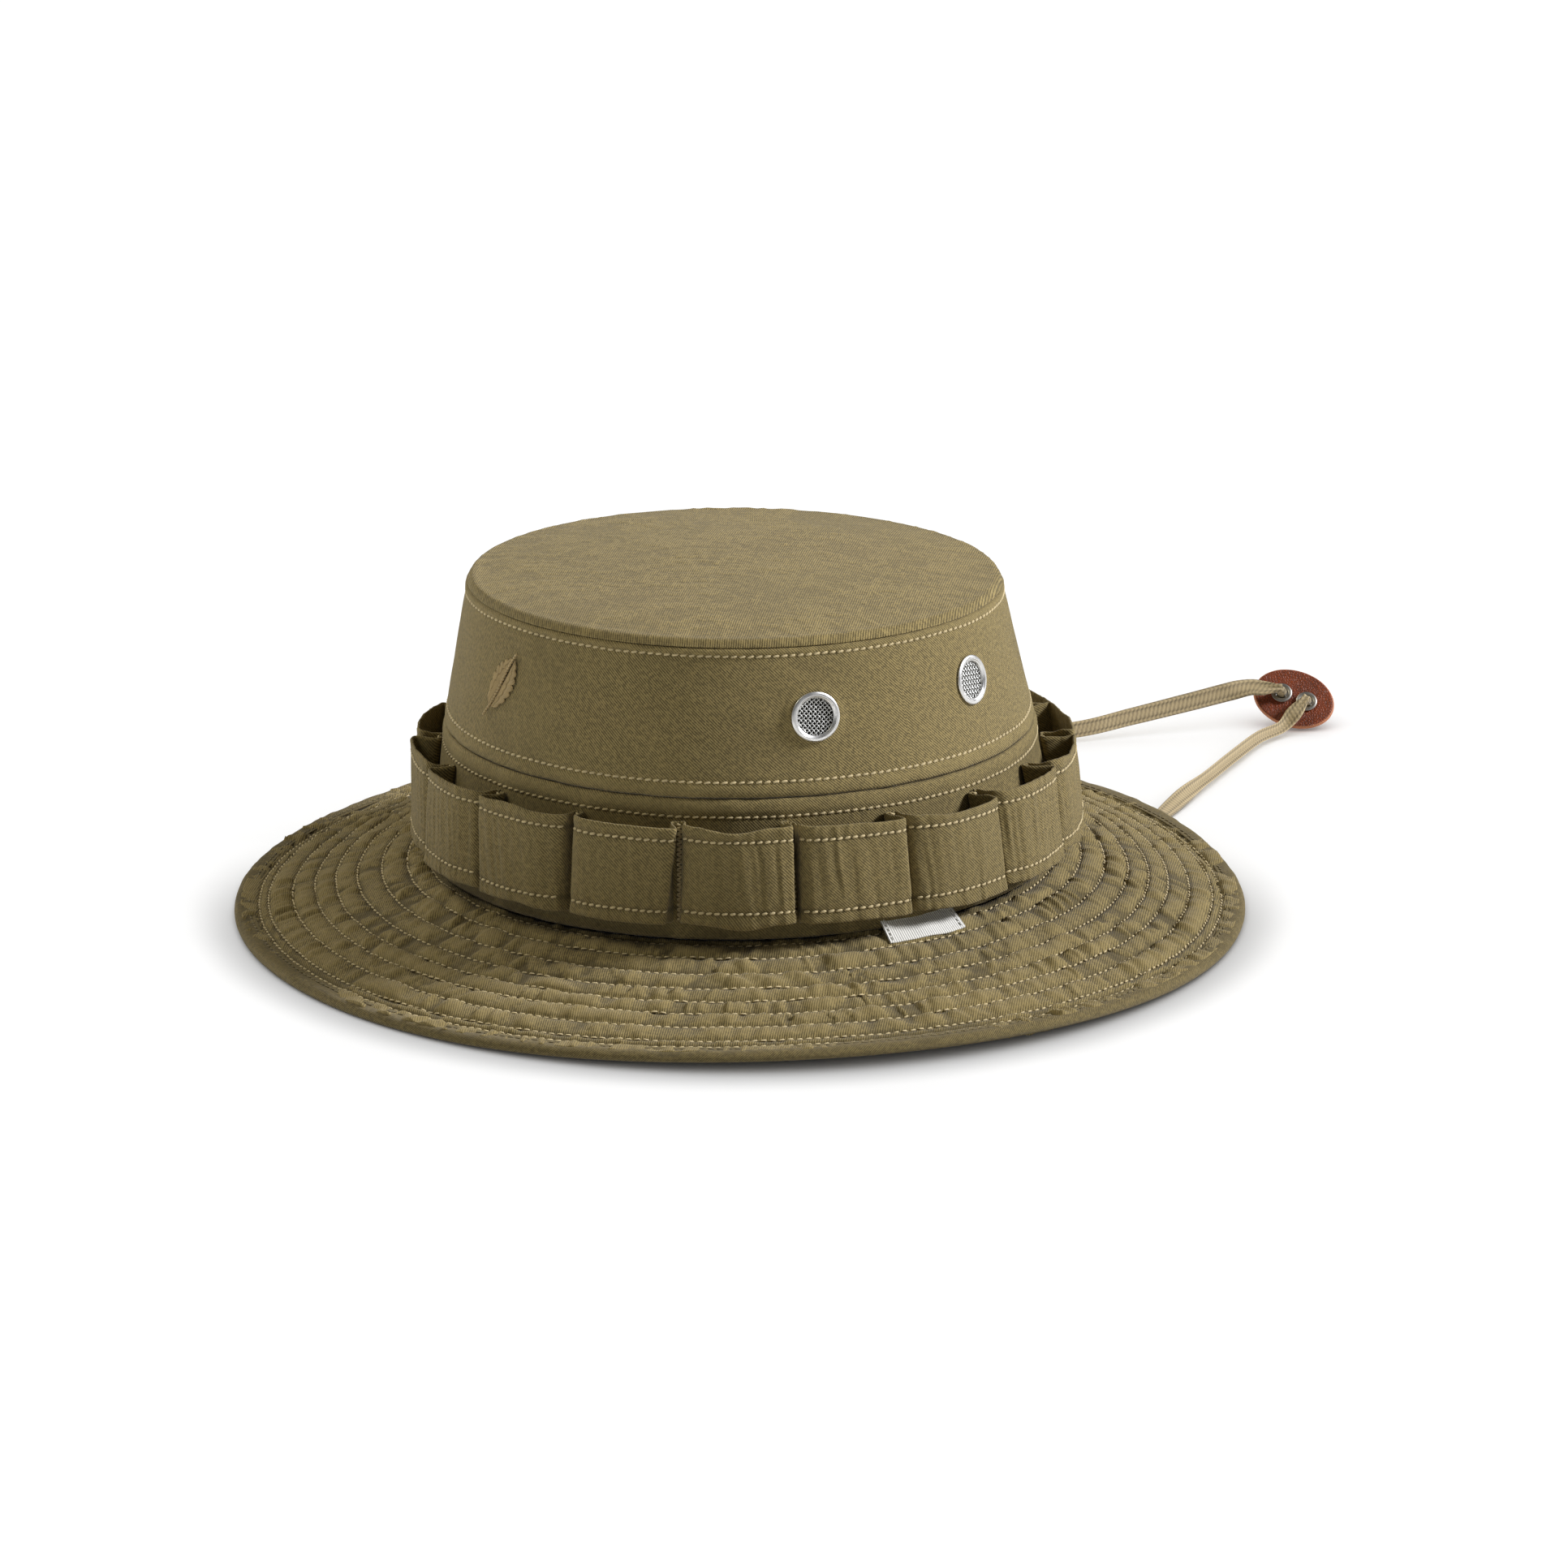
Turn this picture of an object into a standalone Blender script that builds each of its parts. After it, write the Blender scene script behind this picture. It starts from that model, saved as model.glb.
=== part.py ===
"""Boonie hat: quilted brim, crown with screened vents, band of foliage loops, chin cord with a leather slider.

Metres, +Z up. The front of the hat faces -Y and the wearer's left is +X. The brim stands on Z = 0,
centred on the origin, and the chin cord lies on the same plane behind the hat.
"""
import math

import bmesh
import bpy
from mathutils import Matrix, Vector

MM = 0.001
GAP = 0.3 * MM                      # clearance between pieces that touch

# Crown: an oval tube from the brim seam (height share 0) to the top seam (height share 1)
CROWN_X, CROWN_Y = 0.0 * MM, 2.0 * MM     # middle of the crown at the brim seam
SEAM_HALF_X, SEAM_HALF_Y = 92.7 * MM, 97.3 * MM
SEAM_Z = 18.9 * MM
TOP_HALF_X, TOP_HALF_Y = 78.1 * MM, 81.6 * MM
TOP_SHIFT_X, TOP_SHIFT_Y = 1.7 * MM, -5.0 * MM
TOP_Z = 104.0 * MM
TOP_TILT_X, TOP_TILT_Y = 0.004, -0.0195      # slope of the top seam; it drops towards the back
CROWN_BULGE = 1.0 * MM
DOME = 5.5 * MM                     # rise of the top panel over its seam
CLOTH = 1.0 * MM                    # crown cloth, two plies
BAND_SHARE = 0.487                  # height share of the seam between crown wall and crown band

# Brim: from under the crown seam (share 0) to the bound edge (share 1)
EDGE_HALF_X, EDGE_HALF_Y = 153.8 * MM, 154.6 * MM
SEAM_ALLOWANCE = 2.0 * MM
BRIM_RISE = 16.1 * MM
FLAT_FROM = 0.915                   # share where the brim's slope meets its level outer rim
FLAT_ROUND = 0.03
PLY = 0.4 * MM
BINDING_FROM = 0.905                # inner edge of the edge binding
BINDING_BEND = 0.945                # line where both binding and plies bend to the level rim
PLY_END = 0.985                     # outer edge of the plies inside the binding
PLY_SHARES = (0.0, 0.55, BINDING_FROM, BINDING_BEND, PLY_END)
RIM_SHARE = 1.004                   # outermost line of the binding
EDGE_LIFTS = (                      # waves of the edge: middle and half width in degrees, height
    (-22.5, 61.5, 3.4 * MM),
    (150.0, 50.0, 3.2 * MM),
    (97.0, 42.0, 2.4 * MM),
)

# Foliage loops
LOOPS = 18
LOOP_START = -6.2                   # degrees, middle of the first bartack
LOOP_LOW, LOOP_HIGH = 0.08, 0.41   # height shares
LOOP_OUT_LOW, LOOP_OUT_HIGH = 9.4 * MM, 12.4 * MM
LOOP_CLOTH = 0.9 * MM

# Screened vents
VENTS = ((-19.6, 0.757), (19.6, 0.779), (160.4, 0.779), (199.6, 0.757))      # degrees, height share
VENT_FLANGE_R, VENT_BORE_R, VENT_BARREL_R, VENT_HOLE_R = 7.4 * MM, 5.4 * MM, 5.9 * MM, 6.25 * MM
VENT_SEAT = 0.55 * MM               # flange underside over the middle of the curved wall
VENT_METAL = 0.55 * MM
VENT_ROUND = 0.3 * MM               # bevel of the flange's outer edge
VENT_LIP_R = VENT_BARREL_R + 0.7 * MM
VENT_LIP_BOTTOM, LIP_METAL = -2.7 * MM, 0.35 * MM
WASHER_TOP, WASHER_METAL = -1.8 * MM, 0.25 * MM
SCREEN_AT, SCREEN_THICK = -0.2 * MM, 0.4 * MM

# Chin cord and slider
CORD_WIDE, CORD_THICK = 5.0 * MM, 1.4 * MM
TAIL_R = 1.3 * MM
CORD_STEP = 11.0 * MM
LABEL_SIZE = (25.0 * MM, 7.5 * MM, 0.6 * MM)
LABEL_ANGLE = -3.0
LABEL_FROM, LABEL_TO = 0.035, 0.16  # brim shares between which the label lies
LABEL_LIFT = 0.55 * MM
MOTIF_ANGLE, MOTIF_SHARE, MOTIF_LEAN = -89.5, 0.775, 58.0
MOTIF_HALF = (11.5 * MM, 6.8 * MM)
MOTIF_OUT, MOTIF_THICK = 0.9 * MM, 0.6 * MM
TAB_SIZE = (9.0 * MM, 7.0 * MM, 1.2 * MM)
TAB_Y, TAB_DOWN = 2.0 * MM, 6.0 * MM  # along the hat, and down the brim's slope from share 0.05
SLIDER_AT = Vector((-41.6, 259.3, 9.0)) * MM
SLIDER_FACING = -36.2               # degrees, heading that the leather's face looks along
SLIDER_PITCH = 45.0                 # degrees, how far its face looks up
SLIDER_ROLL = -21.8                 # degrees, turn of its long axis in its own plane
SLIDER_HALF_LONG, SLIDER_HALF_SHORT = 13.8 * MM, 10.6 * MM
LEATHER = 2.0 * MM
EYELET_OFFSET = 4.4 * MM
EYELET_FLANGE_R, EYELET_BORE_R, EYELET_BARREL_R, EYELET_HOLE_R = 3.5 * MM, 2.0 * MM, 2.4 * MM, 2.7 * MM
EYELET_METAL = 0.4 * MM
KNOT_R = 3.3 * MM
STRAND_CLEAR = 1.9 * MM             # flat strands cross the tilted leather on their edges

SEGMENTS = 60
COLLECTION = "boonie_hat"


def clear_scene():
    for obj in list(bpy.data.objects):
        bpy.data.objects.remove(obj, do_unlink=True)


def collection(name):
    found = bpy.data.collections.new(name)
    bpy.context.scene.collection.children.link(found)
    return found


def material(name, color, roughness, metallic=0.0):
    made = bpy.data.materials.new(name)
    made.use_nodes = True
    shader = made.node_tree.nodes["Principled BSDF"]
    shader.inputs["Base Color"].default_value = (*color, 1.0)
    shader.inputs["Roughness"].default_value = roughness
    shader.inputs["Metallic"].default_value = metallic
    return made


def adopt_primitive(name, finish, matrix):
    """Names the primitive just added, gives it its material and moves it into the object's collection."""
    piece = bpy.context.object
    piece.name = piece.data.name = name
    piece.data.materials.append(finish)
    piece.matrix_world = matrix
    for owner in list(piece.users_collection):
        owner.objects.unlink(piece)
    PARTS.objects.link(piece)
    return piece


def add_object(name, data, finish, matrix=None):
    obj = bpy.data.objects.new(name, data)
    data.materials.append(finish)
    if matrix is not None:
        obj.matrix_world = matrix
    PARTS.objects.link(obj)
    return obj


def mix(a, b, share):
    return a + (b - a) * share


def crown_point(angle, share, out=0.0):
    """A point on the crown cloth's outer face, or out metres outside it. The angle is in radians."""
    bulge = CROWN_BULGE * 4.0 * share * (1.0 - share)
    half_x = mix(SEAM_HALF_X, TOP_HALF_X, share) + bulge + out
    half_y = mix(SEAM_HALF_Y, TOP_HALF_Y, share) + bulge + out
    x = CROWN_X + TOP_SHIFT_X * share + half_x * math.cos(angle)
    y = CROWN_Y + TOP_SHIFT_Y * share + half_y * math.sin(angle)
    tilt = TOP_TILT_X * x + TOP_TILT_Y * y
    return Vector((x, y, mix(SEAM_Z, TOP_Z, share) + tilt * share))


def crown_frame(angle, share, out=0.0):
    """Matrix at a crown point: X along the wall, Y up it, Z straight out of it."""
    step = 0.01
    point = crown_point(angle, share, out)
    along = (crown_point(angle + step, share, out) - point).normalized()
    up = crown_point(angle, share + step, out) - point
    up = (up - along * up.dot(along)).normalized()
    return Matrix.Translation(point) @ Matrix((along, up, along.cross(up))).transposed().to_4x4()


def edge_lift(angle):
    """Height of the waved brim edge over the surface that it stands on."""
    total = 0.0
    for middle, half, height in EDGE_LIFTS:
        away = (math.degrees(angle) - middle + 180.0) % 360.0 - 180.0
        if abs(away) < half:
            total += height * 0.5 * (1.0 + math.cos(math.pi * away / half))
    return total


def slope_left(share):
    """Share of the brim's rise that is left at a share of its width: straight, then level at the rim."""
    if share <= FLAT_FROM - FLAT_ROUND:
        return 1.0 - share / FLAT_FROM
    if share >= FLAT_FROM + FLAT_ROUND:
        return 0.0
    return (FLAT_FROM + FLAT_ROUND - share) ** 2 / (4.0 * FLAT_ROUND * FLAT_FROM)


def brim_point(angle, share, up=0.0):
    """A point over the brim's underside, which ends in the level rim."""
    half_x = mix(SEAM_HALF_X - SEAM_ALLOWANCE, EDGE_HALF_X, share)
    half_y = mix(SEAM_HALF_Y - SEAM_ALLOWANCE, EDGE_HALF_Y, share)
    x = CROWN_X * (1.0 - share) + half_x * math.cos(angle)
    y = CROWN_Y * (1.0 - share) + half_y * math.sin(angle)
    return Vector((x, y, BRIM_RISE * slope_left(share) + edge_lift(angle) * share ** 2 + up))


def closed_ring(name, section, finish):
    """A solid ring lofted through closed sections, one for each angle round the hat."""
    mesh = bmesh.new()
    turns = [2.0 * math.pi * i / SEGMENTS for i in range(SEGMENTS)]
    rings = [[mesh.verts.new(p) for p in section(a)] for a in turns]
    count = len(rings[0])
    for i in range(SEGMENTS):
        here, following = rings[i], rings[(i + 1) % SEGMENTS]
        for j in range(count):
            k = (j + 1) % count
            mesh.faces.new((here[j], following[j], following[k], here[k]))
    bmesh.ops.recalc_face_normals(mesh, faces=mesh.faces)
    data = bpy.data.meshes.new(name)
    mesh.to_mesh(data)
    mesh.free()
    return add_object(name, data, finish)


def crown_ring(name, low, high, levels, inner, outer, finish):
    """A ring of cloth that follows the crown between two height shares."""
    shares = [mix(low, high, i / (levels - 1)) for i in range(levels)]

    def section(angle):
        outside = [crown_point(angle, s, outer) for s in shares]
        inside = [crown_point(angle, s, inner) for s in reversed(shares)]
        return outside + inside

    return closed_ring(name, section, finish)


def brim_ring(name, shares, bottom, finish):
    """A ply of the brim whose underside lies bottom metres over the binding's underside."""

    def section(angle):
        above = [brim_point(angle, s, bottom + PLY) for s in shares]
        below = [brim_point(angle, s, bottom) for s in reversed(shares)]
        return above + below

    return closed_ring(name, section, finish)


def ply_bottom(place):
    """Height of the underside of the ply at a place in the stack, the binding's own underside being 0."""
    return place * (PLY + GAP)


def turned(name, profile, finish, matrix, steps=20):
    """A turned piece from its closed profile of (radius, height) points, outer side from top to bottom."""
    data = bpy.data.meshes.new(name)
    edges = [(i, (i + 1) % len(profile)) for i in range(len(profile))]
    data.from_pydata([(r, 0.0, z) for r, z in profile], edges, [])
    obj = add_object(name, data, finish, matrix)
    screw = obj.modifiers.new("turn", "SCREW")
    screw.steps = screw.render_steps = steps
    screw.use_merge_vertices = True
    screw.merge_threshold = 0.00001
    return obj


def flat_outline(name, outlines, thickness, finish, matrix):
    """A flat plate from closed outlines, the first its edge and the others its holes."""
    curve = bpy.data.curves.new(name, "CURVE")
    curve.dimensions = "2D"
    curve.fill_mode = "BOTH"
    curve.extrude = thickness / 2.0
    for outline in outlines:
        spline = curve.splines.new("POLY")
        spline.points.add(len(outline) - 1)
        spline.use_cyclic_u = True
        for point, (x, y) in zip(spline.points, outline):
            point.co = (x, y, 0.0, 1.0)
    return add_object(name, curve, finish, matrix)


def oval_outline(half_x, half_y, count, middle_x=0.0):
    turns = [2.0 * math.pi * i / count for i in range(count)]
    return [(middle_x + half_x * math.cos(a), half_y * math.sin(a)) for a in turns]


def smooth_route(points, step):
    """Points step metres apart along a smooth curve through the route's own points."""
    ends = [points[0] * 2.0 - points[1], *points, points[-1] * 2.0 - points[-2]]
    fine = []
    for a, b, c, d in zip(ends, ends[1:], ends[2:], ends[3:]):
        for i in range(40):
            t = i / 40.0
            fine.append(0.5 * (2.0 * b + (c - a) * t + (2.0 * a - 5.0 * b + 4.0 * c - d) * t * t
                               + (3.0 * b - a - 3.0 * c + d) * t ** 3))
    fine.append(points[-1])
    lengths = [0.0]
    for a, b in zip(fine, fine[1:]):
        lengths.append(lengths[-1] + (b - a).length)
    count = max(2, round(lengths[-1] / step))
    picked, k = [], 0
    for i in range(count + 1):
        want = lengths[-1] * i / count
        while k < len(fine) - 2 and lengths[k + 1] < want:
            k += 1
        picked.append(fine[k].lerp(fine[k + 1], (want - lengths[k]) / (lengths[k + 1] - lengths[k])))
    return picked


def tube(name, points, radius, finish, wide=0.0):
    """A round tube, or with a width a flat one that lies on its broad side."""
    curve = bpy.data.curves.new(name, "CURVE")
    curve.dimensions = "3D"
    curve.twist_mode = "Z_UP"
    curve.bevel_depth = radius
    curve.extrude = max(0.0, wide / 2.0 - radius)
    curve.bevel_resolution = 2
    curve.use_fill_caps = True
    spline = curve.splines.new("POLY")
    spline.points.add(len(points) - 1)
    for point, place in zip(spline.points, points):
        point.co = (*place, 1.0)
        point.tilt = math.pi / 2.0 if wide else 0.0
    return add_object(name, curve, finish)


def make_top_panel(cloth):
    """Domed oval panel, level with its seam at the rim."""
    shares = (1.0, 0.94, 0.75, 0.45, 0.2)
    mesh = bmesh.new()
    rings = []
    for share in shares:
        ring = []
        for i in range(SEGMENTS):
            rim = crown_point(2.0 * math.pi * i / SEGMENTS, 1.0)
            middle = Vector((CROWN_X + TOP_SHIFT_X, CROWN_Y + TOP_SHIFT_Y, 0.0))
            place = middle.lerp(rim, share)
            seam = TOP_Z + TOP_TILT_X * place.x + TOP_TILT_Y * place.y
            place.z = seam + GAP + CLOTH + DOME * (1.0 - share ** 2)
            ring.append(mesh.verts.new(place))
        rings.append(ring)
    for outer, inner in zip(rings, rings[1:]):
        for i in range(SEGMENTS):
            k = (i + 1) % SEGMENTS
            mesh.faces.new((outer[i], outer[k], inner[k], inner[i]))
    mesh.faces.new(rings[-1])
    bmesh.ops.recalc_face_normals(mesh, faces=mesh.faces)
    if mesh.faces[0].normal.z < 0.0:
        bmesh.ops.reverse_faces(mesh, faces=mesh.faces)
    data = bpy.data.meshes.new("top_panel")
    mesh.to_mesh(data)
    mesh.free()
    panel = add_object("top_panel", data, cloth)
    shell = panel.modifiers.new("cloth", "SOLIDIFY")
    shell.thickness = CLOTH
    shell.offset = -1.0
    return panel


def make_crown(cloth, lining):
    wall = crown_ring("crown_wall", BAND_SHARE + 0.002, 1.0, 3, -CLOTH, 0.0, cloth)
    crown_ring("crown_band", 0.003, BAND_SHARE - 0.002, 2, -CLOTH, 0.0, cloth)
    tape_in, tape_out = -CLOTH - GAP - 0.6 * MM, -CLOTH - GAP
    crown_ring("band_seam_tape", 0.41, 0.57, 2, tape_in, tape_out, lining)
    crown_ring("top_seam_tape", 0.93, 0.995, 2, tape_in, tape_out, lining)
    crown_ring("sweatband", 0.02, 0.36, 2, tape_in - 0.4 * MM, tape_out, lining)
    for number, (angle, share) in enumerate(VENTS, 1):
        bpy.ops.mesh.primitive_cylinder_add(vertices=24, radius=VENT_HOLE_R, depth=8.0 * MM)
        cutter = bpy.context.object
        cutter.name = f"vent_cutter_{number}"
        cutter.matrix_world = crown_frame(math.radians(angle), share)
        for owner in list(cutter.users_collection):
            owner.objects.unlink(cutter)
        CUTTERS.objects.link(cutter)
        cutter.hide_render = True
        cutter.display_type = "WIRE"
        hole = wall.modifiers.new(cutter.name, "BOOLEAN")
        hole.operation = "DIFFERENCE"
        hole.solver = "EXACT"
        hole.object = cutter


def make_brim(cloth, stiffener, tape):
    brim_ring("brim_lower_ply", PLY_SHARES, ply_bottom(1), cloth)
    brim_ring("brim_interlining", PLY_SHARES, ply_bottom(2), stiffener)
    brim_ring("brim_upper_ply", PLY_SHARES, ply_bottom(3), cloth)
    top = ply_bottom(4)

    def section(angle):
        """U-shaped tape folded round the edge of the three plies."""
        folded = [
            (BINDING_FROM, 0.0), (BINDING_BEND, 0.0), (1.0, 0.0), (RIM_SHARE, PLY), (RIM_SHARE, top),
            (1.0, top + PLY), (BINDING_BEND, top + PLY), (BINDING_FROM, top + PLY), (BINDING_FROM, top),
            (BINDING_BEND, top), (PLY_END + 0.005, top), (PLY_END + 0.005, PLY), (BINDING_BEND, PLY),
            (BINDING_FROM, PLY),
        ]
        return [brim_point(angle, s, up) for s, up in folded]

    closed_ring("brim_binding", section, tape)


def loop_strip(first, cloth, name):
    """One loop: a strip that stands off the crown band between two bartacks."""
    last = first + 360.0 / LOOPS
    tab = GAP + LOOP_CLOTH / 2.0
    levels = (LOOP_LOW, LOOP_HIGH)
    mesh = bmesh.new()
    rows = []
    for share in levels:
        out = mix(LOOP_OUT_LOW, LOOP_OUT_HIGH, (share - LOOP_LOW) / (LOOP_HIGH - LOOP_LOW)) - LOOP_CLOTH / 2.0
        plan = (
            (first + 0.15, tab), (first + 1.9, tab), (first + 0.9, out - 1.0 * MM), (first + 1.4, out),
            ((first + last) / 2.0, out + 0.8 * MM),
            (last - 1.4, out), (last - 0.9, out - 1.0 * MM), (last - 1.9, tab), (last - 0.15, tab),
        )
        rows.append([mesh.verts.new(crown_point(math.radians(a), share, o)) for a, o in plan])
    for lower, upper in zip(rows, rows[1:]):
        for i in range(len(lower) - 1):
            mesh.faces.new((lower[i], lower[i + 1], upper[i + 1], upper[i]))
    data = bpy.data.meshes.new(name)
    mesh.to_mesh(data)
    mesh.free()
    strip = add_object(name, data, cloth)
    shell = strip.modifiers.new("cloth", "SOLIDIFY")
    shell.thickness = LOOP_CLOTH
    shell.offset = 0.0
    shell.use_even_offset = True
    return strip


def make_loops(cloth):
    for i in range(LOOPS):
        loop_strip(LOOP_START + 360.0 / LOOPS * i, cloth, f"foliage_loop_{i + 1:02d}")


def make_vent(number, angle, share, metal, wire):
    frame = crown_frame(math.radians(angle), share)
    top = VENT_SEAT + VENT_METAL
    lip_top = VENT_LIP_BOTTOM + LIP_METAL
    flange = (
        (VENT_FLANGE_R - VENT_ROUND, top), (VENT_FLANGE_R, top - VENT_ROUND), (VENT_FLANGE_R, VENT_SEAT),
        (VENT_BARREL_R, VENT_SEAT), (VENT_BARREL_R, lip_top), (VENT_LIP_R, lip_top),
        (VENT_LIP_R, VENT_LIP_BOTTOM), (VENT_BORE_R, VENT_LIP_BOTTOM), (VENT_BORE_R, top),
    )
    turned(f"vent_flange_{number}", flange, metal, frame)
    washer = (
        (VENT_FLANGE_R, WASHER_TOP), (VENT_FLANGE_R, WASHER_TOP - WASHER_METAL),
        (VENT_HOLE_R, WASHER_TOP - WASHER_METAL), (VENT_HOLE_R, WASHER_TOP),
    )
    turned(f"vent_washer_{number}", washer, metal, frame)
    bpy.ops.mesh.primitive_cylinder_add(vertices=20, radius=VENT_BORE_R - GAP, depth=SCREEN_THICK)
    adopt_primitive(f"vent_screen_{number}", wire, frame @ Matrix.Translation((0.0, 0.0, SCREEN_AT)))


def make_label(ribbon):
    """Blank woven label, sewn into the crown seam and lying on the brim."""
    long, wide, thick = LABEL_SIZE
    angle = math.radians(LABEL_ANGLE)
    low = brim_point(angle, LABEL_FROM, ply_bottom(4))
    high = brim_point(angle, LABEL_TO, ply_bottom(4))
    down = (high - low).normalized()
    along = Vector((0.0, 1.0, 0.0))
    normal = down.cross(along).normalized()
    middle = low + down * (wide / 2.0) + normal * (thick / 2.0 + LABEL_LIFT)
    frame = Matrix.Translation(middle) @ Matrix((down, normal.cross(down), normal)).transposed().to_4x4()
    corners = [(-wide / 2, -long / 2), (wide / 2, -long / 2), (wide / 2, long / 2), (-wide / 2, long / 2)]
    flat_outline("woven_label", [corners], thick, ribbon, frame)


def make_motif(thread):
    """Embroidered leaf on the front of the crown."""
    half_long, half_wide = MOTIF_HALF
    count = 24
    leaf = []
    for i in range(count):
        turn = 2.0 * math.pi * i / count
        width = half_wide * math.sin(turn) * (0.55 + 0.45 * abs(math.sin(turn)))
        leaf.append((half_long * math.cos(turn), width))
    frame = crown_frame(math.radians(MOTIF_ANGLE), MOTIF_SHARE, MOTIF_OUT)
    lean = Matrix.Rotation(math.radians(MOTIF_LEAN), 4, "Z")
    flat_outline("embroidered_leaf", [leaf], MOTIF_THICK, thread, frame @ lean)


def slider_frame():
    heading, pitch = math.radians(SLIDER_FACING), math.radians(SLIDER_PITCH)
    normal = Vector((math.cos(heading) * math.cos(pitch), math.sin(heading) * math.cos(pitch), math.sin(pitch)))
    across = Vector((-math.sin(heading), math.cos(heading), 0.0))
    up = normal.cross(across)
    turn = Matrix((across, up, normal)).transposed().to_4x4()
    return Matrix.Translation(SLIDER_AT) @ turn @ Matrix.Rotation(math.radians(SLIDER_ROLL), 4, "Z")


def make_slider(leather, metal, cord):
    frame = slider_frame()
    outlines = [oval_outline(SLIDER_HALF_LONG, SLIDER_HALF_SHORT, 32)]
    outlines += [oval_outline(EYELET_HOLE_R, EYELET_HOLE_R, 16, x) for x in (-EYELET_OFFSET, EYELET_OFFSET)]
    flat_outline("cord_slider", outlines, LEATHER, leather, frame)
    seat = LEATHER / 2.0 + GAP
    lip_top = -seat - EYELET_METAL - GAP
    lip_r = EYELET_HOLE_R + 0.5 * MM
    eyelet = (
        (EYELET_FLANGE_R, seat + EYELET_METAL), (EYELET_FLANGE_R, seat), (EYELET_BARREL_R, seat),
        (EYELET_BARREL_R, lip_top), (lip_r, lip_top), (lip_r, lip_top - EYELET_METAL),
        (EYELET_BORE_R, lip_top - EYELET_METAL), (EYELET_BORE_R, seat + EYELET_METAL),
    )
    washer = (
        (EYELET_FLANGE_R, -seat), (EYELET_FLANGE_R, -seat - EYELET_METAL),
        (EYELET_HOLE_R, -seat - EYELET_METAL), (EYELET_HOLE_R, -seat),
    )
    for side, offset in (("right", -EYELET_OFFSET), ("left", EYELET_OFFSET)):
        place = frame @ Matrix.Translation((offset, 0.0, 0.0))
        turned(f"slider_eyelet_{side}", eyelet, metal, place, 16)
        turned(f"slider_washer_{side}", washer, metal, place, 16)
        tail_top, tail_end = seat, lip_top - EYELET_METAL
        knot_middle = tail_end - GAP - KNOT_R
        tube(f"cord_tail_{side}", [place @ Vector((0.0, 0.0, z)) for z in (tail_top, tail_end)], TAIL_R, cord)
        bpy.ops.mesh.primitive_uv_sphere_add(segments=12, ring_count=8, radius=KNOT_R)
        adopt_primitive(f"cord_knot_{side}", cord, place @ Matrix.Translation((0.0, 0.0, knot_middle)))


def make_cords(cord, tape):
    """Each strand leaves its sewn tab, lies under the brim, comes out behind it and ends over its eyelet."""
    frame = slider_frame()
    over = LEATHER / 2.0 + GAP + EYELET_METAL + STRAND_CLEAR + CORD_THICK / 2.0
    routes = {
        "left": [
            (105.0, 2.0, 11.5), (110.5, 3.5, 7.6), (116.5, 9.5, 2.6), (119.0, 19.0, 1.0), (118.5, 36.0, 0.9),
            (111.0, 62.0, 0.9), (97.0, 88.0, 0.9), (75.0, 111.0, 0.9), (48.0, 128.0, 0.9), (26.0, 141.0, 0.9),
            (14.8, 151.6, 0.9), (10.6, 159.5, 0.9), (1.5, 176.2, 2.1), (-8.6, 195.0, 2.6), (-20.6, 215.8, 2.6),
            (-30.6, 234.5, 2.7),
        ],
        "right": [
            (-105.0, 2.0, 11.5), (-110.0, -2.5, 7.6), (-116.0, -9.5, 2.6), (-124.0, -11.0, 1.0),
            (-131.5, -5.0, 0.9), (-134.0, 8.0, 0.9), (-131.0, 34.0, 0.9), (-123.0, 62.0, 0.9),
            (-112.0, 88.0, 0.9), (-102.0, 107.0, 0.9), (-94.0, 126.0, 0.9), (-87.5, 146.0, 1.6),
            (-80.5, 166.0, 3.0), (-69.5, 189.0, 4.2), (-63.6, 207.5, 6.8), (-57.2, 226.0, 9.9),
        ],
    }
    onto_slider = {
        "left": [(0.4, -13.8), (2.6, -6.6), (4.4, 0.0)],
        "right": [(-16.5, -4.8), (-10.0, -2.2), (-4.4, 0.0)],
    }
    for side in ("right", "left"):
        route = [Vector(p) * MM for p in routes[side]]
        route += [frame @ Vector((x * MM, y * MM, over)) for x, y in onto_slider[side]]
        tube(f"cord_strand_{side}", smooth_route(route, CORD_STEP), CORD_THICK / 2.0, cord, CORD_WIDE)
        sign = 1.0 if side == "left" else -1.0
        inner = brim_point(0.0, 0.05, ply_bottom(1))
        outer = brim_point(0.0, 0.18, ply_bottom(1))
        down = (outer - inner).normalized()
        normal = Vector((-down.z, 0.0, down.x))
        middle = inner + down * TAB_DOWN - normal * (TAB_SIZE[2] / 2.0 + 0.15 * MM + GAP)
        slope = math.atan2(-down.z, down.x)
        bpy.ops.mesh.primitive_cube_add(size=1.0)
        tab = adopt_primitive(
            f"cord_anchor_{side}", tape,
            Matrix.Translation((middle.x * sign, TAB_Y, middle.z)) @ Matrix.Rotation(slope * sign, 4, "Y"),
        )
        tab.data.transform(Matrix.Diagonal((*TAB_SIZE, 1.0)))


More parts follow.
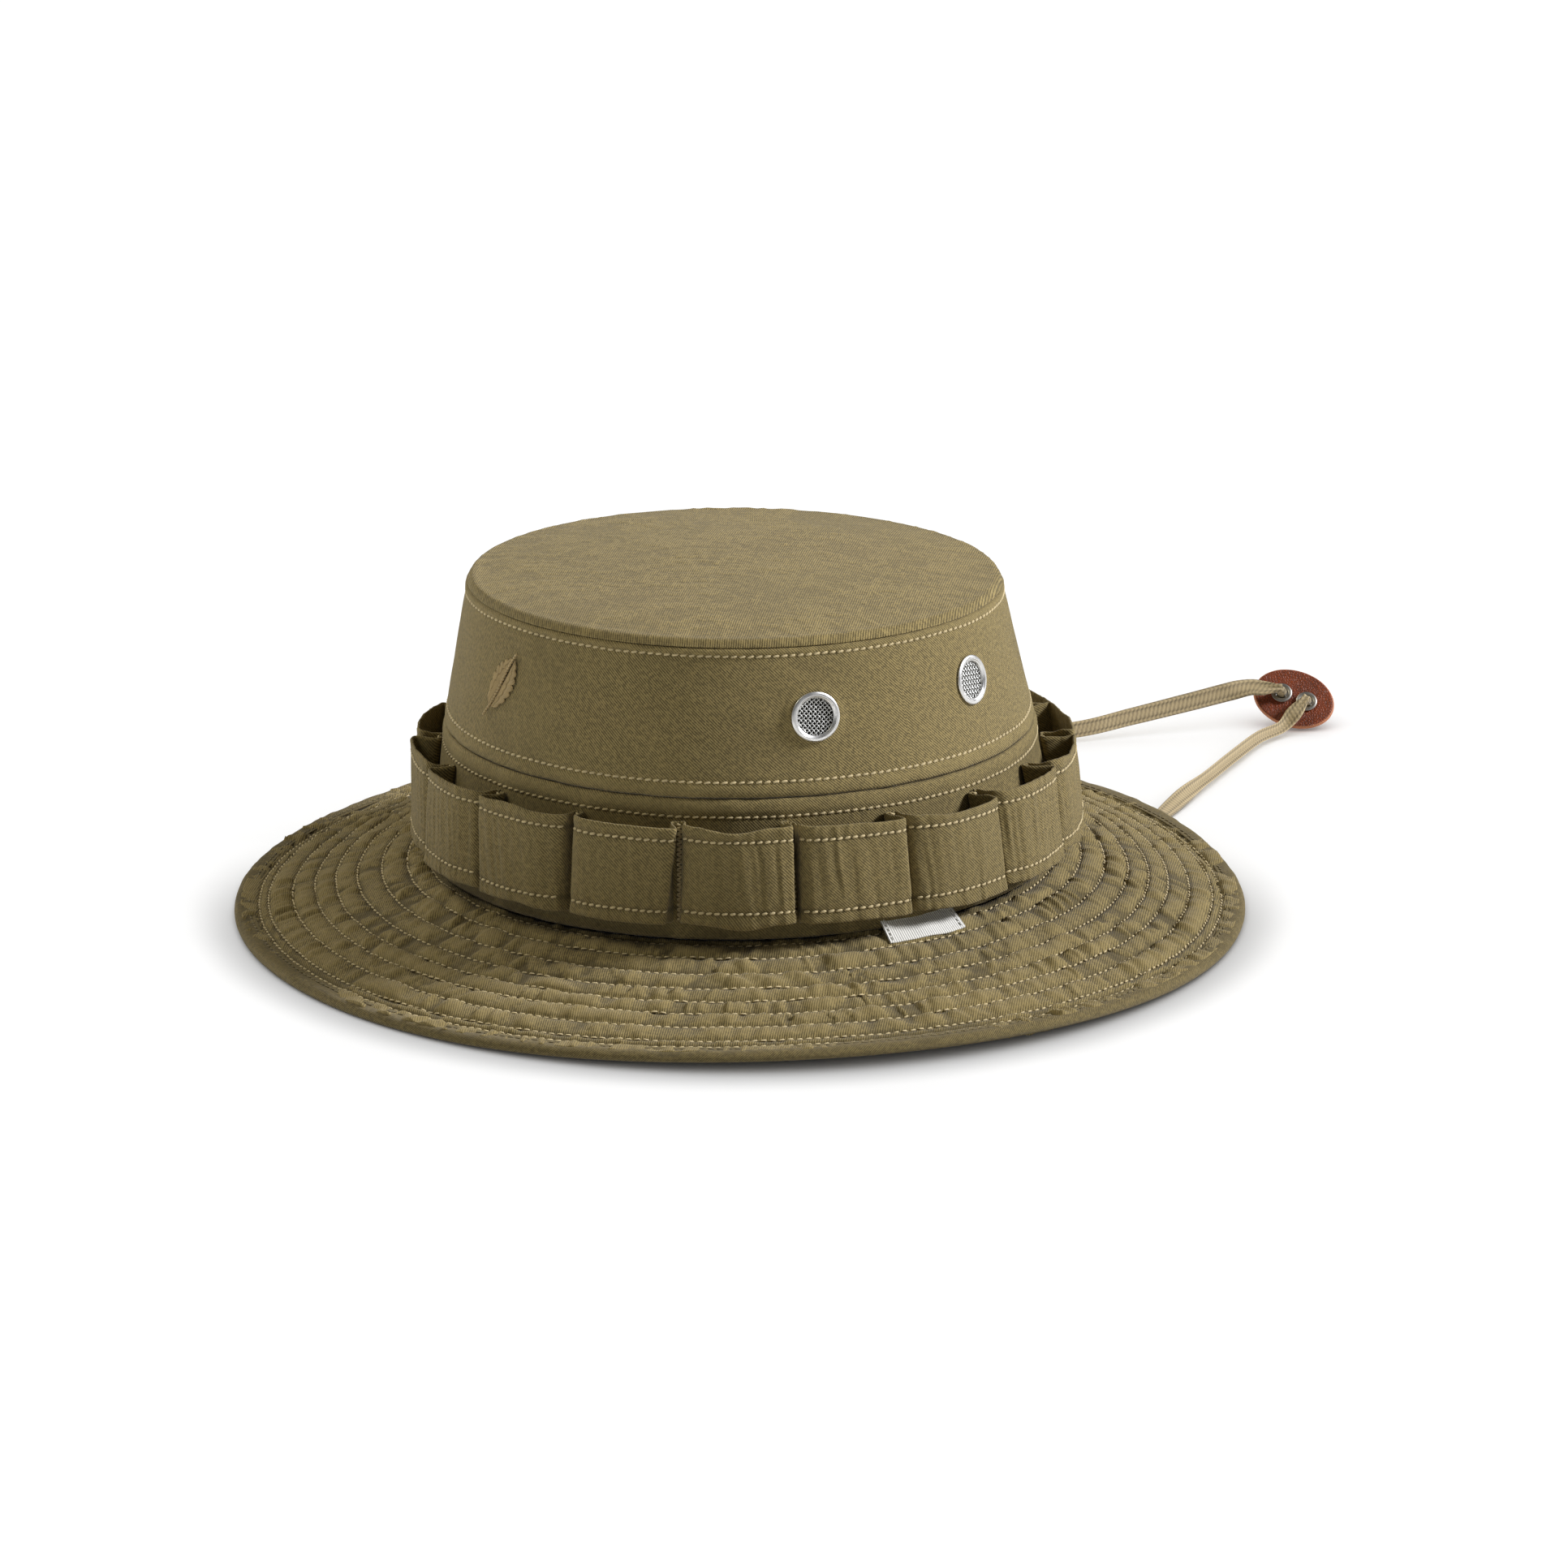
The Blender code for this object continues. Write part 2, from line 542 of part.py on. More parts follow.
def main():
    cloth = material("olive_cloth", (0.145, 0.115, 0.056), 0.9)
    lining = material("sweatband_cloth", (0.11, 0.088, 0.045), 0.92)
    stiffener = material("stiff_interlining", (0.72, 0.7, 0.64), 0.9)
    binding = material("binding_tape", (0.168, 0.136, 0.067), 0.85)
    steel = material("nickel_plate", (0.78, 0.78, 0.77), 0.28, 1.0)
    wire = material("steel_wire", (0.55, 0.55, 0.54), 0.35, 1.0)
    ribbon = material("label_ribbon", (0.75, 0.72, 0.62), 0.7)
    thread = material("embroidery_thread", (0.44, 0.33, 0.16), 0.6)
    cord = material("cord_braid", (0.33, 0.26, 0.15), 0.85)
    leather = material("brown_leather", (0.13, 0.03, 0.013), 0.5)
    make_top_panel(cloth)
    make_crown(cloth, lining)
    make_brim(cloth, stiffener, binding)
    make_loops(cloth)
    for number, (angle, share) in enumerate(VENTS, 1):
        make_vent(number, angle, share, steel, wire)
    make_label(ribbon)
    make_motif(thread)
    make_slider(leather, steel, cord)
    make_cords(cord, cloth)


clear_scene()
PARTS = collection(COLLECTION)
CUTTERS = collection("cutters")
main()
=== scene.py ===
"""Boonie hat: its cloth, stitching, vents, chin cord and leather slider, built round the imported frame."""

import math

import bmesh
import bpy
import numpy as np
from mathutils import Matrix, Vector


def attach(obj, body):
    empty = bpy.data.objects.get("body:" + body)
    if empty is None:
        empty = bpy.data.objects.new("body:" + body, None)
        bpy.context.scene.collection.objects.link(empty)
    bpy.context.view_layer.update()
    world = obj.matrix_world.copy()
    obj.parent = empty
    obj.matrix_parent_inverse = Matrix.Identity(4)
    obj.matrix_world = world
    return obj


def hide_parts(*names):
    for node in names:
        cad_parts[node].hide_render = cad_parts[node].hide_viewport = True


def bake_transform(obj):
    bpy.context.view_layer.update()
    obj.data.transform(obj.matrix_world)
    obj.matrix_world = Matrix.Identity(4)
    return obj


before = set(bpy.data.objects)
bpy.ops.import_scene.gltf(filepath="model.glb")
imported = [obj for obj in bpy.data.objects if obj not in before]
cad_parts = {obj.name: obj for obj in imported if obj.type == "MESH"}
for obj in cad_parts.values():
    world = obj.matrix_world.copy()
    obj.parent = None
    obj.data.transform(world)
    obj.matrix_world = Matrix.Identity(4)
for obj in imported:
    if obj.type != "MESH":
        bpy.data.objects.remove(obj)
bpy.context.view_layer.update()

MM = 0.001
TURN = 2.0 * math.pi

# Crown and brim, the same driving sizes as the CAD part.
CROWN_X, CROWN_Y = 0.0 * MM, 2.0 * MM
SEAM_HALF_X, SEAM_HALF_Y = 92.7 * MM, 97.3 * MM
SEAM_Z = 18.9 * MM
TOP_HALF_X, TOP_HALF_Y = 78.1 * MM, 81.6 * MM
TOP_SHIFT_X, TOP_SHIFT_Y = 1.7 * MM, -5.0 * MM
TOP_Z = 104.0 * MM
TOP_TILT_X, TOP_TILT_Y = 0.004, -0.0195
CROWN_BULGE = 1.0 * MM
DOME = 5.5 * MM
BAND_SHARE = 0.487
EDGE_HALF_X, EDGE_HALF_Y = 153.8 * MM, 154.6 * MM
SEAM_ALLOWANCE = 2.0 * MM
BRIM_RISE = 16.1 * MM
FLAT_FROM, FLAT_ROUND = 0.915, 0.03
BRIM_THICK = 2.5 * MM
EDGE_LIFTS = ((-22.5, 61.5, 3.4 * MM), (150.0, 50.0, 3.2 * MM), (97.0, 42.0, 2.4 * MM))
WALL_LENGTH = 89.3 * MM               # along the crown wall, from the brim seam to the top seam
BRIM_LENGTH = 61.5 * MM               # along the brim, from the crown seam to the edge

# Rows of stitching, as shares of the crown's height and of the brim's width.
TOP_ROW, WALL_ROW, BAND_ROW = 0.968, 0.542, 0.425
BRIM_ROWS = (0.045, 0.151, 0.275, 0.394, 0.502, 0.604, 0.713, 0.832, 0.880)
BINDING_ROW = 0.928
STITCH = 2.5 * MM
THREAD = 0.80 * MM

# Camera: where it stands round the hat and above it, how far away, and the point it looks at.
AZIMUTH, ELEVATION = math.radians(53.78), math.radians(17.19)
DISTANCE = 1.976
AIM = Vector((0.0, 0.0021, 0.045))

LOOPS = 18
LOOP_START = -6.2
LOOP_LOW, LOOP_HIGH = 0.068, 0.41     # bottom and top edges, as shares of the crown's height
LOOP_CLOTH = 0.9 * MM
LOOP_TAB = 0.75 * MM
LOOP_HEMS = (0.14, 0.875)             # stitched hems, as shares of a loop's height
LOOP_FACE_OUT, LOOP_FACE_SWAY = 8.9 * MM, 1.1 * MM
LOOP_FACE_RISE = 2.6 * MM             # how much further a loop's top stands out than its bottom
LOOP_FULL_SIDE = 53.0                 # degrees, where the loops stand out the most
LOOP_ENDS = {                         # by loop: whether its left and right ends are folded sharp
    **{loop: (True, False) for loop in (11, 12, 13, 14)},
    **{loop: (False, True) for loop in (15, 16, 17, 0, 1, 2)}, 3: (True, True),
}
LOOP_SKEWS = {                        # by loop: degrees that its ends lean between bottom and top
    13: (0.3, 0.4), 14: (-0.3, 1.7), 15: (0.9, 2.3), 16: (0.7, 0.2), 17: (0.4, -0.3), 0: (0.3, -0.8),
    1: (0.0, -0.4),
}
LOOP_TALL = 28.0                      # mm from a loop's bottom edge to its top edge
LOOP_COLUMNS = 104                    # points along a loop's strip
LOOP_ROUND = 100.0 * MM               # radius at which degrees along the strip are turned into lengths

VENTS = ((-19.6, 0.757), (19.6, 0.779), (160.4, 0.779), (199.6, 0.757))
VENT_SEAT = 0.55 * MM
VENT_HOLE_R, VENT_FLANGE_R = 6.25 * MM, 7.4 * MM
VENT_ROUND = 85.0 * MM                # the crown's radius where the vents are

SLIDER_AT = Vector((-41.6, 259.3, 9.0)) * MM
SLIDER_FACING, SLIDER_PITCH, SLIDER_ROLL = -36.2, 45.0, -21.8
SLIDER_HALF_LONG, SLIDER_HALF_SHORT = 13.8 * MM, 10.6 * MM
LEATHER = 2.0 * MM
EYELET_OFFSET = 4.4 * MM
STRAND_OVER = 4.3 * MM                # middle of a strand over the middle of the leather


def mix(a, b, share):
    return a + (b - a) * share


def smooth(low, high, value):
    share = np.clip((value - low) / (high - low), 0.0, 1.0)
    return share * share * (3.0 - 2.0 * share)


def noise(x, y, seed=0, wrap=0):
    """Smooth noise from -1 to 1 over a plane; it repeats every wrap units of x, if wrap isn't 0."""
    x, y = np.broadcast_arrays(np.asarray(x, float), np.asarray(y, float))
    x0, y0 = np.floor(x), np.floor(y)
    fx, fy = x - x0, y - y0
    fx, fy = fx * fx * fx * (fx * (fx * 6 - 15) + 10), fy * fy * fy * (fy * (fy * 6 - 15) + 10)

    def corner(i, j):
        i = np.mod(i, wrap) if wrap else i
        value = np.sin(i * 127.1 + j * 311.7 + seed * 74.7) * 43758.5453
        return (value - np.floor(value)) * 2.0 - 1.0

    low = mix(corner(x0, y0), corner(x0 + 1, y0), fx)
    high = mix(corner(x0, y0 + 1), corner(x0 + 1, y0 + 1), fx)
    return mix(low, high, fy)


def ripple(angle, rise, seed, cells):
    """Noise round the hat, with that many cells in a turn."""
    return noise(angle / TURN * cells, rise, seed, cells)


def unit(rows):
    return rows / np.linalg.norm(rows, axis=-1, keepdims=True)


def run_along(points):
    """How far each point of a path is from its first point, along the path."""
    return np.concatenate([[0.0], np.cumsum(np.linalg.norm(np.diff(points, axis=0), axis=1))])


def creases(x, y, seed=0, wrap=0):
    """Narrow raised folds, from 0 between them to 1 on their crests."""
    return np.clip(1.0 - 2.6 * np.abs(noise(x, y, seed, wrap)), 0.0, 1.0)


# ---------------------------------------------------------------- mesh helpers

def add_piece(name, data, finish):
    data.materials.append(finish)
    data.shade_smooth()
    piece = bpy.data.objects.new(name, data)
    bpy.context.scene.collection.objects.link(piece)
    return piece


def set_tone(data, tone):
    """Store one number for each point, which the finishes darken or lighten by: on cloth and braid it is
    painted shade and light from the relief, on threads a random tone, on the leather its paler edge.
    """
    data.attributes.new("tone", "FLOAT", "POINT").data.foreach_set(
        "value", np.ascontiguousarray(tone, np.float32).ravel())


def set_uv(data, uv):
    data.uv_layers.new(name="cloth_mm").data.foreach_set("uv", np.ascontiguousarray(uv, np.float32).ravel())


def rework(data, change=None):
    """Change a mesh, then turn all its faces outwards."""
    mesh = bmesh.new()
    mesh.from_mesh(data)
    if change:
        change(mesh)
    bmesh.ops.recalc_face_normals(mesh, faces=mesh.faces)
    mesh.to_mesh(data)
    mesh.free()


def lattice(name, points, finish, wrap=True, closed=True, flat_uv=False, tone=None, drop=None):
    """Quads through points[i, j], in rings over i if wrap and over j if closed, with UVs in millimetres."""
    count_i, count_j = points.shape[:2]
    i = np.arange(count_i if wrap else count_i - 1)[:, None]
    j = np.arange(count_j if closed else count_j - 1)[None, :]
    steps = ((0, 0), (1, 0), (1, 1), (0, 1))
    shape = (i.size, j.size)
    faces = np.stack([
        np.broadcast_to(((i + a) % count_i) * count_j + (j + b) % count_j, shape) for a, b in steps], -1)
    ring = np.concatenate([points, points[:1]])[:, count_j // 3]
    row = np.concatenate([points, points[:, :1]], 1)[0]
    far, high = run_along(ring) / MM, run_along(row) / MM
    uv = np.stack([np.stack([np.broadcast_to(far[i + a], shape), np.broadcast_to(high[j + b], shape)], -1)
                   for a, b in steps], -2)
    faces, uv = faces.reshape(-1, 4), uv.reshape(-1, 4, 2)
    flat = points.reshape(-1, 3)
    if flat_uv:
        uv = flat[faces][..., :2] / MM
    if drop is not None:
        kept = ~drop(flat[faces].mean(1))
        faces, uv = faces[kept], uv[kept]
    middle = flat.mean(0)
    a, b, c, d = (flat[faces[:, k]] - middle for k in range(4))
    if (np.einsum("ij,ij->i", a, np.cross(b, c)) + np.einsum("ij,ij->i", a, np.cross(c, d))).sum() < 0.0:
        faces, uv = faces[:, ::-1], uv[:, ::-1]
    rows = faces.tolist()
    if closed and not wrap:
        last = (count_i - 1) * count_j
        rows += [list(range(count_j)), list(range(last, last + count_j))]
        uv = np.concatenate([uv.reshape(-1, 2), np.zeros((2 * count_j, 2))])
    data = bpy.data.meshes.new(name)
    data.from_pydata(flat.tolist(), [], rows)
    set_uv(data, uv)
    if tone is not None:
        set_tone(data, np.broadcast_to(tone, points.shape[:2]))
    if closed and not wrap:
        rework(data)
    return add_piece(name, data, finish)


def tube_faces(rings, sides, base=0):
    """Quads between the rings of a tube whose first point is number base."""
    return [[base + r * sides + k, base + r * sides + (k + 1) % sides,
             base + (r + 1) * sides + (k + 1) % sides, base + (r + 1) * sides + k]
            for r in range(rings - 1) for k in range(sides)]


def thread_piece(name, runs, finish, width=THREAD, rise=0.16 * MM, sides=5):
    """One capsule of thread for each (start, end, normal) row of runs, arched away from the cloth."""
    starts, ends, normals = (np.concatenate([run[k] for run in runs]) for k in range(3))
    reach = np.array((-0.5, -0.33, 0.33, 0.5))
    girth = np.array((0.42, 1.0, 1.0, 0.42))
    along = ends - starts
    length = np.linalg.norm(along, axis=1, keepdims=True)
    along = along / length
    side = unit(np.cross(normals, along))
    up = np.cross(along, side)
    turn = TURN * np.arange(sides) / sides
    across = np.cos(turn)[None, None, :, None] * (girth * width / 2.0)[None, :, None, None]
    lift = (np.sin(turn)[None, :] * (girth * width * 0.42)[:, None]
            + (rise * (1.0 - (2.0 * reach) ** 2))[:, None])
    points = ((starts + ends)[:, None, None, :] / 2.0
              + along[:, None, None, :] * (reach[None, :, None, None] * length[:, None, None, :])
              + side[:, None, None, :] * across
              + up[:, None, None, :] * lift[None, :, :, None])
    pattern = np.array(tube_faces(len(reach), sides))
    block = len(reach) * sides
    offsets = (np.arange(len(starts)) * block)[:, None, None]
    faces = (pattern[None] + offsets).reshape(-1, 4).tolist()
    caps = np.array([list(range(sides))[::-1], list(range(block - sides, block))])
    faces += (caps[None] + offsets).reshape(-1, sides).tolist()
    data = bpy.data.meshes.new(name)
    data.from_pydata(points.reshape(-1, 3).tolist(), [], faces)
    set_tone(data, np.repeat(noise(np.arange(len(starts)) * 0.37, 0.5, 11), block))
    return add_piece(name, data, finish)


def sewn_row(path, normals, pitch=STITCH, fill=0.70, seed=0, closed=True):
    """Start, end and normal of each stitch along a path of points, a little slanted and out of line."""
    wander, lean = 0.10 * MM, 0.17 * MM
    if closed:
        path, normals = np.concatenate([path, path[:1]]), np.concatenate([normals, normals[:1]])
    length = run_along(path)
    count = max(1, int(round(length[-1] / pitch)))
    step = length[-1] / count
    middle = (np.arange(count) + 0.5) * step
    stretch = fill * (1.0 + 0.10 * noise(middle / step * 0.7, 1.5, seed))

    def at(where, rows):
        return np.stack([np.interp(where, length, rows[:, k]) for k in range(3)], 1)

    start = at(np.clip(middle - step * stretch / 2.0, 0.0, length[-1]), path)
    end = at(np.clip(middle + step * stretch / 2.0, 0.0, length[-1]), path)
    normal = unit(at(middle, normals))
    side = unit(np.cross(normal, end - start))
    drift = wander * noise(middle / step * 0.31, 4.5, seed + 3)[:, None]
    slant = lean + wander * noise(middle / step * 0.9, 7.5, seed + 5)[:, None]
    return start + side * (drift - slant), end + side * (drift + slant), normal


def turned(name, profile, finish, matrix, steps=72):
    """A ring turned about the matrix's Z from (radius, height) points, in millimetres, of a closed profile."""
    profile = np.array(profile) * MM
    turn = TURN * np.arange(steps) / steps
    points = np.stack([
        profile[None, :, 0] * np.cos(turn)[:, None], profile[None, :, 0] * np.sin(turn)[:, None],
        np.broadcast_to(profile[None, :, 1], (steps, len(profile)))], -1)
    return lattice(name, moved(points, matrix), finish)


def moved(points, matrix):
    m = np.array(matrix)
    return points @ m[:3, :3].T + m[:3, 3]


def rounded(corners, radius, steps=4):
    """A closed outline with its corners cut to short curves."""
    corners = [Vector((*c, 0.0)) for c in corners]
    outline = []
    for k, corner in enumerate(corners):
        before, after = corners[k - 1] - corner, corners[(k + 1) % len(corners)] - corner
        cut = min(radius, before.length * 0.45, after.length * 0.45)
        a, b = corner + before.normalized() * cut, corner + after.normalized() * cut
        for s in range(steps + 1):
            t = s / steps
            outline.append(tuple((a * (1 - t) ** 2 + corner * 2 * t * (1 - t) + b * t ** 2)[:2]))
    return outline


def dress(piece, body="hat", nodes=()):
    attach(piece, body)
    if nodes:
        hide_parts(*nodes)
    return piece


# ---------------------------------------------------------------- materials

class Shader:
    """A material's node tree, with short calls for the nodes that these finishes use."""

    def __init__(self, name):
        self.material = bpy.data.materials.new(name)
        self.material.use_nodes = True
        self.tree = self.material.node_tree
        self.tree.nodes.clear()
        self.output = self.node("ShaderNodeOutputMaterial")
        self.skin = self.node("ShaderNodeBsdfPrincipled")
        self.link(self.skin.outputs[0], self.output.inputs["Surface"])

    def node(self, kind, **settings):
        made = self.tree.nodes.new(kind)
        for key, value in settings.items():
            setattr(made, key, value)
        return made

    def link(self, source, target):
        self.tree.links.new(source, target)

    def feed(self, socket, value):
        if isinstance(value, bpy.types.NodeSocket):
            self.link(value, socket)
        else:
            socket.default_value = value

    def math(self, operation, a, b=0.0, clamp=False):
        made = self.node("ShaderNodeMath", operation=operation, use_clamp=clamp)
        self.feed(made.inputs[0], a)
        self.feed(made.inputs[1], b)
        return made.outputs[0]

    def vector(self, operation, a, b=None):
        made = self.node("ShaderNodeVectorMath", operation=operation)
        self.link(a, made.inputs[0])
        if b:
            made.inputs[1].default_value = b
        return made

    def noise(self, place, scale, detail=3.0, rough=0.55, distortion=0.0):
        made = self.node("ShaderNodeTexNoise")
        self.link(place, made.inputs["Vector"])
        settings = {"Scale": scale, "Detail": detail, "Roughness": rough, "Distortion": distortion}
        for key, value in settings.items():
            made.inputs[key].default_value = value
        return made.outputs[0]

    def ramp(self, value, low, high, to_low=0.0, to_high=1.0):
        made = self.node("ShaderNodeMapRange", interpolation_type="SMOOTHSTEP")
        self.feed(made.inputs[0], value)
        for k, number in enumerate((low, high, to_low, to_high)):
            made.inputs[k + 1].default_value = number
        return made.outputs[0]

    def blend(self, share, a, b, kind="MIX"):
        made = self.node("ShaderNodeMix", data_type="RGBA", blend_type=kind)
        self.feed(made.inputs[0], share)
        self.feed(made.inputs[6], a if isinstance(a, bpy.types.NodeSocket) else (*a, 1.0))
        self.feed(made.inputs[7], b if isinstance(b, bpy.types.NodeSocket) else (*b, 1.0))
        return made.outputs[2]

    def bump(self, height, distance, strength=1.0):
        made = self.node("ShaderNodeBump")
        made.inputs["Strength"].default_value = strength
        made.inputs["Distance"].default_value = distance
        self.link(height, made.inputs["Height"])
        self.link(made.outputs[0], self.skin.inputs["Normal"])

    def place(self, map_name=None):
        """Positions in millimetres, on a piece's own UV map or in space."""
        if map_name:
            return self.node("ShaderNodeUVMap", uv_map=map_name).outputs[0]
        scaled = self.node("ShaderNodeVectorMath", operation="SCALE")
        self.link(self.node("ShaderNodeTexCoord").outputs["Object"], scaled.inputs[0])
        scaled.inputs["Scale"].default_value = 1.0 / MM
        return scaled.outputs[0]

    def wave(self, place, direction, period, distortion=0.0):
        """Bands of that period, in the place's units, from 0 to 1."""
        made = self.node("ShaderNodeTexWave", wave_type="BANDS", bands_direction=direction)
        self.link(place, made.inputs["Vector"])
        made.inputs["Scale"].default_value = TURN / (10.0 * period)
        made.inputs["Distortion"].default_value = distortion
        made.inputs["Detail"].default_value = 1.0
        made.inputs["Detail Scale"].default_value = 1.5
        return made.outputs[1]

    def tone(self):
        return self.node("ShaderNodeAttribute", attribute_name="tone").outputs["Fac"]

    def paint(self, color, roughness, **levels):
        """Feed the surface; levels are its other inputs, with _ for a space."""
        self.feed(self.skin.inputs["Base Color"], color)
        self.feed(self.skin.inputs["Roughness"], roughness)
        for name, level in levels.items():
            self.skin.inputs[name.replace("_", " ")].default_value = level
        return self.material


def srgb(*channels):
    return tuple((v / 255.0 / 12.92) if v <= 10 else ((v / 255.0 + 0.055) / 1.055) ** 2.4 for v in channels)


def tint(color, share):
    """A colour times a share, or times one share for each channel, and no brighter than white."""
    return tuple(np.minimum(1.0, np.multiply(color, share)).tolist())


def cloth_finish(name, base, twill=0.95, tone=1.0, has_uv=True):
    """Fine diagonal cotton twill: two yarn colours, painted light on raised folds, painted shade and some dirt
    in the hollows, and a soft nap.
    """
    s = Shader(name)
    weave = s.place("cloth_mm") if has_uv else s.place()
    space = s.place()
    ribs = s.wave(weave, "DIAGONAL", twill, 0.5)
    yarns = s.wave(weave, "X", twill * 0.55, 0.7)
    slubs = s.noise(weave, 0.9, 4.0, 0.6)
    broad = s.noise(space, 0.018, 3.0, 0.5)
    heather = s.noise(space, 0.50, 5.0, 0.70)
    grain = s.math("ADD", s.math("MULTIPLY", ribs, 0.7), s.math("MULTIPLY", yarns, 0.3))
    # The tone attribute follows the relief: it paints shade, with some dirt, into the hollows and light onto
    # the raised folds; the tone argument sets how strong both are.
    relief = s.tone()
    color = s.blend(s.ramp(grain, 0.20, 0.80), tint(base, 0.36), tint(base, 1.60))
    for value, low, high, weight, share in (
            (slubs, 0.50, 0.62, 0.50, 1.50), (slubs, 0.50, 0.38, 0.50, 0.46),
            (broad, 0.3, 0.7, 0.30, (0.86, 0.88, 0.84)), (heather, 0.50, 0.64, 0.26, (1.40, 1.36, 1.30)),
            (heather, 0.50, 0.36, 0.22, 0.55), (relief, 0.0, -1.0, 0.55 * tone, 0.34),
            (relief, 0.2, 1.0, 0.30 * tone, 1.35)):
        color = s.blend(s.ramp(value, low, high, 0.0, weight), color, tint(base, share))
    height = s.math("ADD", s.math("MULTIPLY", grain, 0.6), s.math("MULTIPLY", slubs, 0.5))
    height = s.math("ADD", height, s.math("MULTIPLY", heather, 0.4))
    s.bump(height, 0.24 * MM, 0.9)
    return s.paint(color, s.ramp(slubs, 0.2, 0.8, 0.80, 0.95),
                   Specular_IOR_Level=0.22, Sheen_Weight=0.12, Sheen_Roughness=0.5)


def thread_finish(name, base, spread=0.35):
    """Twisted polyester thread, a little glossier than the cloth."""
    s = Shader(name)
    space = s.place()
    twist = s.wave(space, "DIAGONAL", 0.32, 1.2)
    fuzz = s.noise(space, 2.2, 3.0, 0.6)
    color = s.blend(s.ramp(twist, 0.1, 0.9), tint(base, 0.72), tint(base, 1.15))
    color = s.blend(s.ramp(s.tone(), -0.8, 0.8, 0.0, spread), color, tint(base, 1.35))
    s.bump(s.math("ADD", twist, fuzz), 0.08 * MM, 0.6)
    return s.paint(color, s.ramp(fuzz, 0.2, 0.8, 0.50, 0.72), Sheen_Weight=0.15)


def metal_finish(name, base, rough, brushed=0.5):
    """Nickel plate with fine turning marks, dulled patches and faint scratches."""
    s = Shader(name)
    space = s.place()
    dull = s.noise(space, 0.45, 4.0, 0.6)
    marks = s.noise(space, 6.0, 2.0, 0.5)
    color = s.blend(s.ramp(dull, 0.35, 0.75, 0.0, 0.45), base, tint(base, 0.70))
    s.bump(s.math("ADD", marks, dull), 0.03 * MM, brushed)
    return s.paint(color, s.ramp(dull, 0.2, 0.8, rough, rough + 0.18), Metallic=1.0)


def braid_finish(name, base):
    """Soft light-khaki braid: painted shade between its yarns, with a fine fuzz."""
    s = Shader(name)
    weave = s.place("cloth_mm")
    fibre = s.noise(weave, 3.2, 4.0, 0.65)
    patches = s.noise(weave, 0.12, 2.0, 0.5)
    # The tone follows the yarns' relief: painted shade between them, lighter on their crowns.
    color = s.blend(s.ramp(s.tone(), -1.0, 1.0), tint(base, 0.30), tint(base, 1.22))
    color = s.blend(s.ramp(fibre, 0.4, 0.75, 0.0, 0.30), color, tint(base, 1.3))
    color = s.blend(s.ramp(patches, 0.4, 0.7, 0.0, 0.22), color, tint(base, (0.80, 0.78, 0.74)))
    s.bump(fibre, 0.10 * MM, 0.7)
    return s.paint(color, s.ramp(fibre, 0.2, 0.8, 0.72, 0.90), Sheen_Weight=0.2)


def leather_finish(name, base, edge):
    """Grained leather: pebbles, pores and a paler burnished edge."""
    s = Shader(name)
    space = s.place()
    cells = s.node("ShaderNodeTexVoronoi", feature="DISTANCE_TO_EDGE")
    s.link(space, cells.inputs["Vector"])
    cells.inputs["Scale"].default_value = 1.15
    pebbles = s.ramp(cells.outputs["Distance"], 0.0, 0.28)
    pores = s.noise(space, 2.6, 3.0, 0.6)
    stain = s.noise(space, 0.16, 3.0, 0.55)
    color = s.blend(pebbles, tint(base, 0.50), base)
    color = s.blend(s.ramp(stain, 0.35, 0.75, 0.0, 0.55), color, tint(base, (1.5, 1.35, 1.2)))
    color = s.blend(s.ramp(s.tone(), 0.15, 0.85, 0.0, 0.85), color, edge)
    s.bump(s.math("ADD", s.math("MULTIPLY", pebbles, 0.8), s.math("MULTIPLY", pores, 0.35)), 0.16 * MM, 0.8)
    return s.paint(color, s.ramp(pebbles, 0.0, 1.0, 0.66, 0.44), Specular_IOR_Level=0.45)


def ribbon_finish(name, base):
    """Satin-faced ribbon with fine cross ribs."""
    s = Shader(name)
    weave = s.place("cloth_mm")
    ribs = s.wave(weave, "X", 1.5, 0.1)
    lines = s.wave(weave, "Y", 0.30, 0.3)
    speck = s.noise(weave, 1.2, 3.0, 0.6)
    color = s.blend(s.ramp(ribs, 0.1, 0.9), tint(base, 0.52), base)
    color = s.blend(s.ramp(speck, 0.45, 0.8, 0.0, 0.25), color, tint(base, 0.82))
    s.bump(s.math("ADD", ribs, s.math("MULTIPLY", lines, 0.3)), 0.10 * MM, 0.7)
    return s.paint(color, s.ramp(speck, 0.2, 0.8, 0.45, 0.62), Sheen_Weight=0.1)


def floor_finish():
    """White paper with a painted shadow: darker close to the brim on the hat's front side, where the brim
    shades it.
    """
    s = Shader("pale_floor")
    space = s.place()
    grain = s.noise(space, 0.02, 2.0, 0.5)
    color = s.blend(s.ramp(grain, 0.3, 0.7), srgb(248, 248, 248), srgb(250, 250, 250))
    brims = s.vector("DIVIDE", space, (EDGE_HALF_X / MM, EDGE_HALF_Y / MM, 1.0)).outputs[0]
    reach = s.vector("LENGTH", brims).outputs["Value"]
    side = s.vector("DOT_PRODUCT", brims, (math.sin(AZIMUTH), -math.cos(AZIMUTH), 0.0)).outputs["Value"]
    # Painted shadow: the floor's colour is darkened towards black close to the brim's edge on the hat's front
    # side.
    near = s.math("MULTIPLY", s.ramp(reach, 1.0, 1.11, 0.36, 0.0), s.ramp(side, -0.45, 0.25))
    return s.paint(s.blend(near, color, (0.0, 0.0, 0.0)), 0.9, Specular_IOR_Level=0.1)


